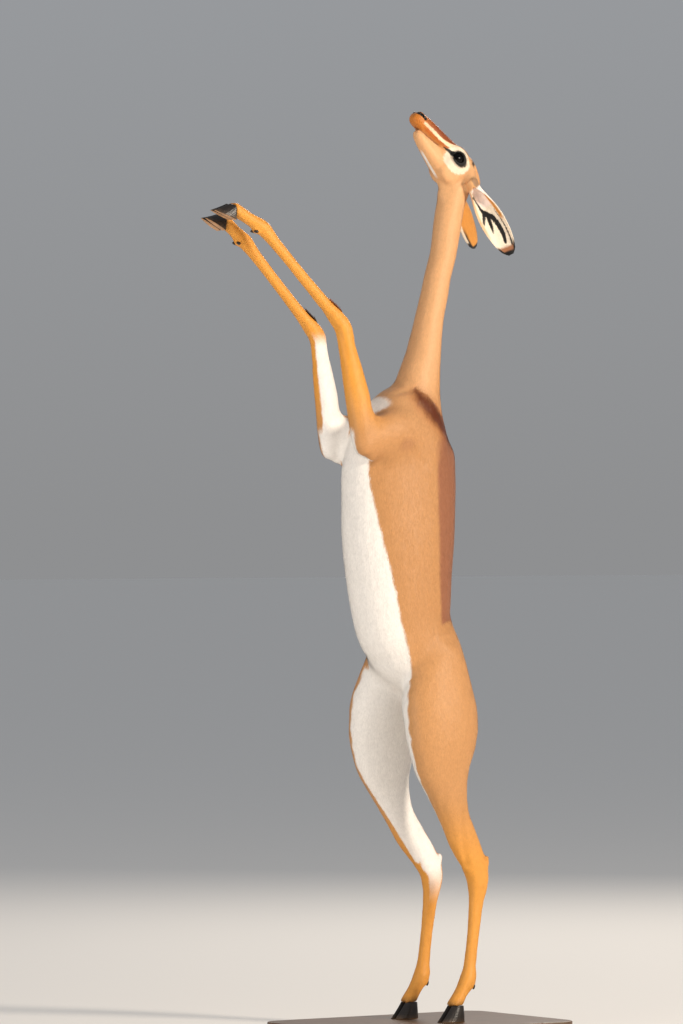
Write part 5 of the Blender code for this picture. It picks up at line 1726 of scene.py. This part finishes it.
def ribbons(name: str, rows: list, sides: np.ndarray, widths: list, tints: np.ndarray) -> bpy.types.Object:
    """Joins tapered ribbons, each through its own places, into one mesh.

    Args:
        name: The object's name.
        rows: One array of places for each step of the length.
        sides: Each ribbon's cross direction.
        widths: The width at each step.
        tints: Each ribbon's linear colour.

    Returns:
        The ribbons' object.
    """
    pairs = []
    for place, width in zip(rows, widths):
        pairs += [place - sides * (width / 2.0), place + sides * (width / 2.0)]
    vertices = np.stack(pairs, axis=1)
    count, per = vertices.shape[:2]
    faces = []
    for i in range(count):
        for j in range(len(rows) - 1):
            a = i * per + 2 * j
            faces.append((a, a + 1, a + 3, a + 2))
    made = mesh_object(name, vertices.reshape(-1, 3), faces)
    shade_smooth(made)
    write_tint(made, np.repeat(tints, per, axis=0))
    patch_uv(made, per)
    return made


@dataclass
class TailTuft:
    """The long dark hairs of the tail's end: full below its top and drawn to a point."""

    strands: int = 3400
    width: float = 0.0009
    steps: int = 6
    top: float = 0.735
    end: float = 0.548
    tint: str = "1c1410"

    def build(self) -> bpy.types.Object:
        """Plants long hairs round the tail's lower half.

        Returns:
            The tuft's object.
        """
        rng = np.random.default_rng(5)
        line = np.array(TAIL_LINE)[::-1]
        n = self.strands
        start = self.top - (self.top - 0.585) * rng.random(n) ** 0.9
        length = 0.050 + 0.034 * rng.random(n)
        finish = np.maximum(start - length, self.end + 0.012 * rng.random(n) ** 2)
        turn = rng.random(n) * 2.0 * math.pi
        out = np.stack([np.cos(turn), np.sin(turn), np.zeros(n)], axis=1)
        full = 0.35 + 0.65 * np.sqrt(rng.random(n))
        rows = []
        for j in range(self.steps + 1):
            t = j / self.steps
            z = start + (finish - start) * t
            x = np.interp(z, line[:, 1], line[:, 0]) + 0.0012 * np.sin(z * 60.0)
            middle = np.stack([x, np.zeros(n), z], 1)
            core = np.interp(z, (0.56, 0.60, 0.735), (0.0015, 0.0050, 0.0090))
            cloud = np.interp(
                z, (self.end, 0.575, 0.62, 0.67, 0.735), (0.0010, 0.0080, 0.0150, 0.0160, 0.0105))
            reach = core * (1.0 - t) * 0.9 + cloud * full * t ** 0.7
            rows.append(middle + out * reach[:, None])
        sides = np.cross(out, np.array([0.0, 0.0, 1.0]))
        widths = [self.width * (1.0 - 0.85 * (j / self.steps) ** 2) for j in range(self.steps + 1)]
        tints = np.tile(linear(self.tint), (n, 1)) * (0.55 + 0.9 * rng.random(n))[:, None]
        return ribbons("coat_tail_tuft", rows, sides, widths, tints)


@dataclass
class KneeBrushes:
    """The short brush of stiff hair in front of each raised knee, dark brown with an amber fringe."""

    strands: int = 420
    length: float = 0.0150
    width: float = 0.0008
    steps: int = 4
    forward: tuple = (0.75, 0.0, 0.66)
    dark: str = "3a2413"
    fringe: str = "b8742c"
    left_dark: float = 0.30
    right_dark: float = 0.85

    def build(self, skin: bpy.types.Object) -> bpy.types.Object:
        """Plants the brushes on the skin just above each knee.

        Args:
            skin: The skin that carries them.

        Returns:
            Both brushes as one object.
        """
        tree = tree_of(skin)
        rng = np.random.default_rng(9)
        places_by_step = [[] for _ in range(self.steps + 1)]
        sides, tints = [], []
        for side in (LEFT, RIGHT):
            knee, fetlock = (np.array(FORE_LINES[side][i]) for i in (2, 3))
            way = unit(fetlock - knee)
            forward = np.array(self.forward)
            front = unit(forward - way * (forward @ way))
            dark_share = self.right_dark if side == RIGHT else self.left_dark
            across = np.cross(way, front)
            for _ in range(self.strands):
                along = 0.020 + 0.034 * rng.random()
                over = (rng.random() - 0.5) * 0.017
                start = knee + way * along + across * over + front * 0.05
                hit = tree.ray_cast(Vector(start), Vector(-front))
                if hit[0] is None:
                    continue
                root = np.array(hit[0]) - front * 0.0006
                lie = unit(way * 0.95 + front * (0.26 + 0.24 * rng.random()) + across * over * 22.0)
                length = self.length * (0.5 + 0.6 * rng.random())
                for j in range(self.steps + 1):
                    t = j / self.steps
                    places_by_step[j].append(root + lie * length * t - front * 0.0022 * t * t)
                sides.append(unit(np.cross(lie, front)))
                tint = linear(self.dark if rng.random() < dark_share else self.fringe)
                tints.append(tint * (0.75 + 0.5 * rng.random()))
        widths = [self.width * (1.0 - 0.8 * j / self.steps) for j in range(self.steps + 1)]
        return ribbons("coat_knee_brushes", [np.array(p) for p in places_by_step], np.array(sides), widths,
                       np.array(tints))


@dataclass
class Hooves:
    """The eight toes and the false hooves behind the fetlocks, in horn."""

    voxel: float = 0.0011
    ring: float = 0.0034
    relief: float = 0.00022
    sole_turn: float = 66.0
    wall_tint: str = "1b1511"
    edge_tint: str = "4a3826"
    sole_tint: str = "a87a4c"
    knob_tint: str = "1d1712"
    knob_axes: tuple = (0.0068, 0.0040, 0.0038)
    knob_sunk: float = 0.0018

    def down(self, leg: str, side: int) -> np.ndarray:
        """Gives the way a foot's sole faces."""
        if leg == "hind":
            return np.array([0.0, 0.0, -1.0])
        coronet, tip = (np.array(FORE_LINES[side][i]) for i in (4, 5))
        turn = Matrix.Rotation(math.radians(-self.sole_turn), 3, "Y")
        return np.array((turn @ Vector(unit(tip - coronet))).normalized())

    def toe(self, leg: str, side: int, place: str, horn: bpy.types.Material) -> bpy.types.Object:
        """Rounds one toe, and gives its wall low growth rings and a tan sole."""
        node = f"hoof_{leg}_{SIDE_NAMES[side]}_{place}"
        made = cad_copy([node], f"{node}_horn", 0.0)
        voxel_remeshed(made, self.voxel)
        eased(made, 3)
        points, normals = places(made), normals_of(made)
        down = self.down(leg, side)
        facing = normals @ down
        depth = points @ down
        wall = step(0.55, 0.25, np.abs(facing))
        rings = np.sin(depth / self.ring * 2.0 * math.pi + 0.6 * np.sin(points[:, 0] * 300.0))
        put_places(made, points + normals * (rings * self.relief * wall - 0.0002)[:, None])
        tint = np.tile(linear(self.wall_tint), (len(points), 1))
        low = step(depth.max() - 0.012, depth.max() - 0.001, depth)
        tint = mix(tint, linear(self.edge_tint), low * 0.5)
        tint = mix(tint, linear(self.sole_tint), step(0.45, 0.70, facing))
        shade_smooth(made)
        write_tint(made, tint)
        made.data.materials.append(horn)
        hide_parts(node)
        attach(made, "root")
        return made

    def false_hooves(self, skin: bpy.types.Object, horn: bpy.types.Material) -> bpy.types.Object:
        """Sets two small dark horny knobs behind each fetlock.

        Args:
            skin: The skin that carries them.
            horn: Their finish.

        Returns:
            All eight as one object.
        """
        tree = tree_of(skin)
        made = []
        for side in (LEFT, RIGHT):
            hind = [np.array(hind_point(side, p)) for p in HIND_LINE]
            fore = [np.array(p) for p in FORE_LINES[side]]
            feet = ((hind[8], hind[9], np.array([1.0, 0.0, 0.0])),
                    (fore[3], fore[4], np.array([0.45, 0.0, -0.89])))
            for fetlock, below, rear in feet:
                bone = unit(below - fetlock)
                rear = unit(rear - bone * (rear @ bone))
                across = np.cross(bone, rear)
                for sign in (-1, 1):
                    start = fetlock + bone * 0.010 + across * sign * 0.0075 + rear * 0.06
                    hit = tree.ray_cast(Vector(start), Vector(-rear))
                    if hit[0] is None:
                        continue
                    deselect()
                    bpy.ops.mesh.primitive_uv_sphere_add(segments=20, ring_count=12, radius=1.0)
                    knob = bpy.context.object
                    point = unit(rear * 0.55 + bone * 0.84)
                    ways = (point, across, np.cross(point, across))
                    turn = np.stack([way * size for way, size in zip(ways, self.knob_axes)], axis=1)
                    shape = places(knob)
                    shape[:, 1:] *= (1.0 - 0.35 * np.maximum(shape[:, :1], 0.0))
                    put_places(knob, shape @ turn.T + np.array(hit[0]) - rear * self.knob_sunk)
                    made.append(knob)
        select(*made)
        bpy.ops.object.join()
        knobs = bpy.context.object
        knobs.name = "false_hooves"
        shade_smooth(knobs)
        write_tint(knobs, np.tile(linear(self.knob_tint), (len(knobs.data.vertices), 1)))
        knobs.data.materials.append(horn)
        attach(knobs, "root")
        return knobs


# Each lamp's name, place, watts, size and colour
LAMPS = (
    ("key", (2.3, -5.6, 2.9), 420.0, 1.1, "fff1df"),
    ("fill", (-4.8, -1.3, 1.4), 115.0, 3.0, "fff6ea"),
    ("rim", (3.2, 3.0, 3.4), 90.0, 2.0, "fff4e6"),
)


@dataclass
class Studio:
    """A pale floor, soft lights and the camera at the photograph's angle."""

    target: tuple = (-0.135, 0.0946, 1.089)
    distance: float = 14.0
    azimuth: float = -35.0
    lens: float = 234.4
    air: str = "e6ebf2"
    horizon: str = "cfd0d2"
    air_strength: float = 0.44
    floor_size: float = 160.0
    floor_tint: str = "e6e3df"
    aim: tuple = (0.0, 0.0, 1.15)

    def build(self) -> None:
        """Adds the floor, lights, world and camera."""
        deselect()
        bpy.ops.mesh.primitive_plane_add(size=self.floor_size, location=(0.0, 0.0, -0.0005))
        floor = bpy.context.object
        floor.name = "studio_floor"
        material, tree, out = new_material("matt_pale_floor")
        shader = add(tree, "ShaderNodeBsdfPrincipled", Base_Color=rgba(self.floor_tint), Roughness=0.9)
        tree.links.new(shader.outputs["BSDF"], out.inputs["Surface"])
        floor.data.materials.append(material)
        world = bpy.data.worlds.new("studio_air")
        world.use_nodes = True
        tree = world.node_tree
        place = add(tree, "ShaderNodeTexCoord")
        height = add(tree, "ShaderNodeSeparateXYZ", Vector=place.outputs["Generated"])
        rise = add(tree, "ShaderNodeMapRange", Value=height.outputs["Z"], From_Min=0.0, From_Max=0.16)
        air = add(tree, "ShaderNodeValToRGB", Fac=rise.outputs["Result"])
        air.color_ramp.elements[0].color = rgba(self.horizon)
        air.color_ramp.elements[1].color = rgba(self.air)
        back = tree.nodes["Background"]
        tree.links.new(air.outputs["Color"], back.inputs["Color"])
        back.inputs["Strength"].default_value = self.air_strength
        bpy.context.scene.world = world
        for lamp in LAMPS:
            self.lamp(*lamp)
        data = bpy.data.cameras.new("camera")
        data.lens = self.lens
        data.sensor_fit = "VERTICAL"
        data.sensor_height = 36.0
        data.clip_end = 300.0
        camera = linked("camera", data)
        turn = math.radians(self.azimuth)
        away = Vector((math.sin(turn), -math.cos(turn), 0.0))
        camera.location = Vector(self.target) + away * self.distance
        camera.rotation_euler = (-away).to_track_quat("-Z", "Y").to_euler()
        bpy.context.scene.camera = camera
        bpy.context.scene.view_settings.view_transform = "Standard"

    def lamp(self, name: str, at: tuple, watts: float, size: float, colour: str) -> None:
        """Adds one soft area light that faces the animal."""
        data = bpy.data.lights.new(name, "AREA")
        data.energy = watts
        data.shape = "DISK"
        data.size = size
        data.color = tuple(float(v) for v in linear(colour))
        obj = linked(name, data)
        obj.location = at
        obj.rotation_euler = (Vector(self.aim) - Vector(at)).to_track_quat("-Z", "Y").to_euler()


def main() -> None:
    """Builds the animal and the studio."""
    logging.basicConfig(level=logging.INFO, format="%(message)s")
    markings = Markings(Palette())
    hair = ShortCoat().make()
    under = ShortCoat(name="hide_under_hair", bump=0.35).make()
    skin = Skin().build(markings)
    skin.data.materials.clear()
    skin.data.materials.append(under)
    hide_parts(*BODY_NODES, *HEAD_NODES, "ear_left", "ear_right")
    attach(skin, "root")
    log.info("skin: %d triangles", sum(len(p.vertices) - 2 for p in skin.data.polygons))
    hide = Hide(skin)
    coat = Coat(hide, markings)
    for cut in CUTS:
        piece = coat.build(cut)
        piece.data.materials.append(hair)
        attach(piece, "root")
        log.info("%s: %d tufts", cut.name, cut.tufts)
    tuft = TailTuft().build()
    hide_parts("tail")
    for piece in (tuft, KneeBrushes().build(skin), Eyes().lashes(skin)):
        piece.data.materials.append(hair)
        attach(piece, "root")
        log.info("%s: %d faces", piece.name, len(piece.data.polygons))
    eye_finish = WetEye().make()
    for side in (LEFT, RIGHT):
        Eyes().build(side, eye_finish)
    horn, hooves = HoofHorn().make(), Hooves()
    for leg in ("fore", "hind"):
        for side in (LEFT, RIGHT):
            for place in ("a", "b"):
                hooves.toe(leg, side, place, horn)
    hooves.false_hooves(skin, horn)
    log.info("hooves in place")
    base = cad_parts["stand_base"]
    base.data.materials.clear()
    base.data.materials.append(StainedOak().make())
    Studio().build()
    bpy.context.view_layer.update()
    log.info("sizes written")


if __name__ == "__main__":
    main()
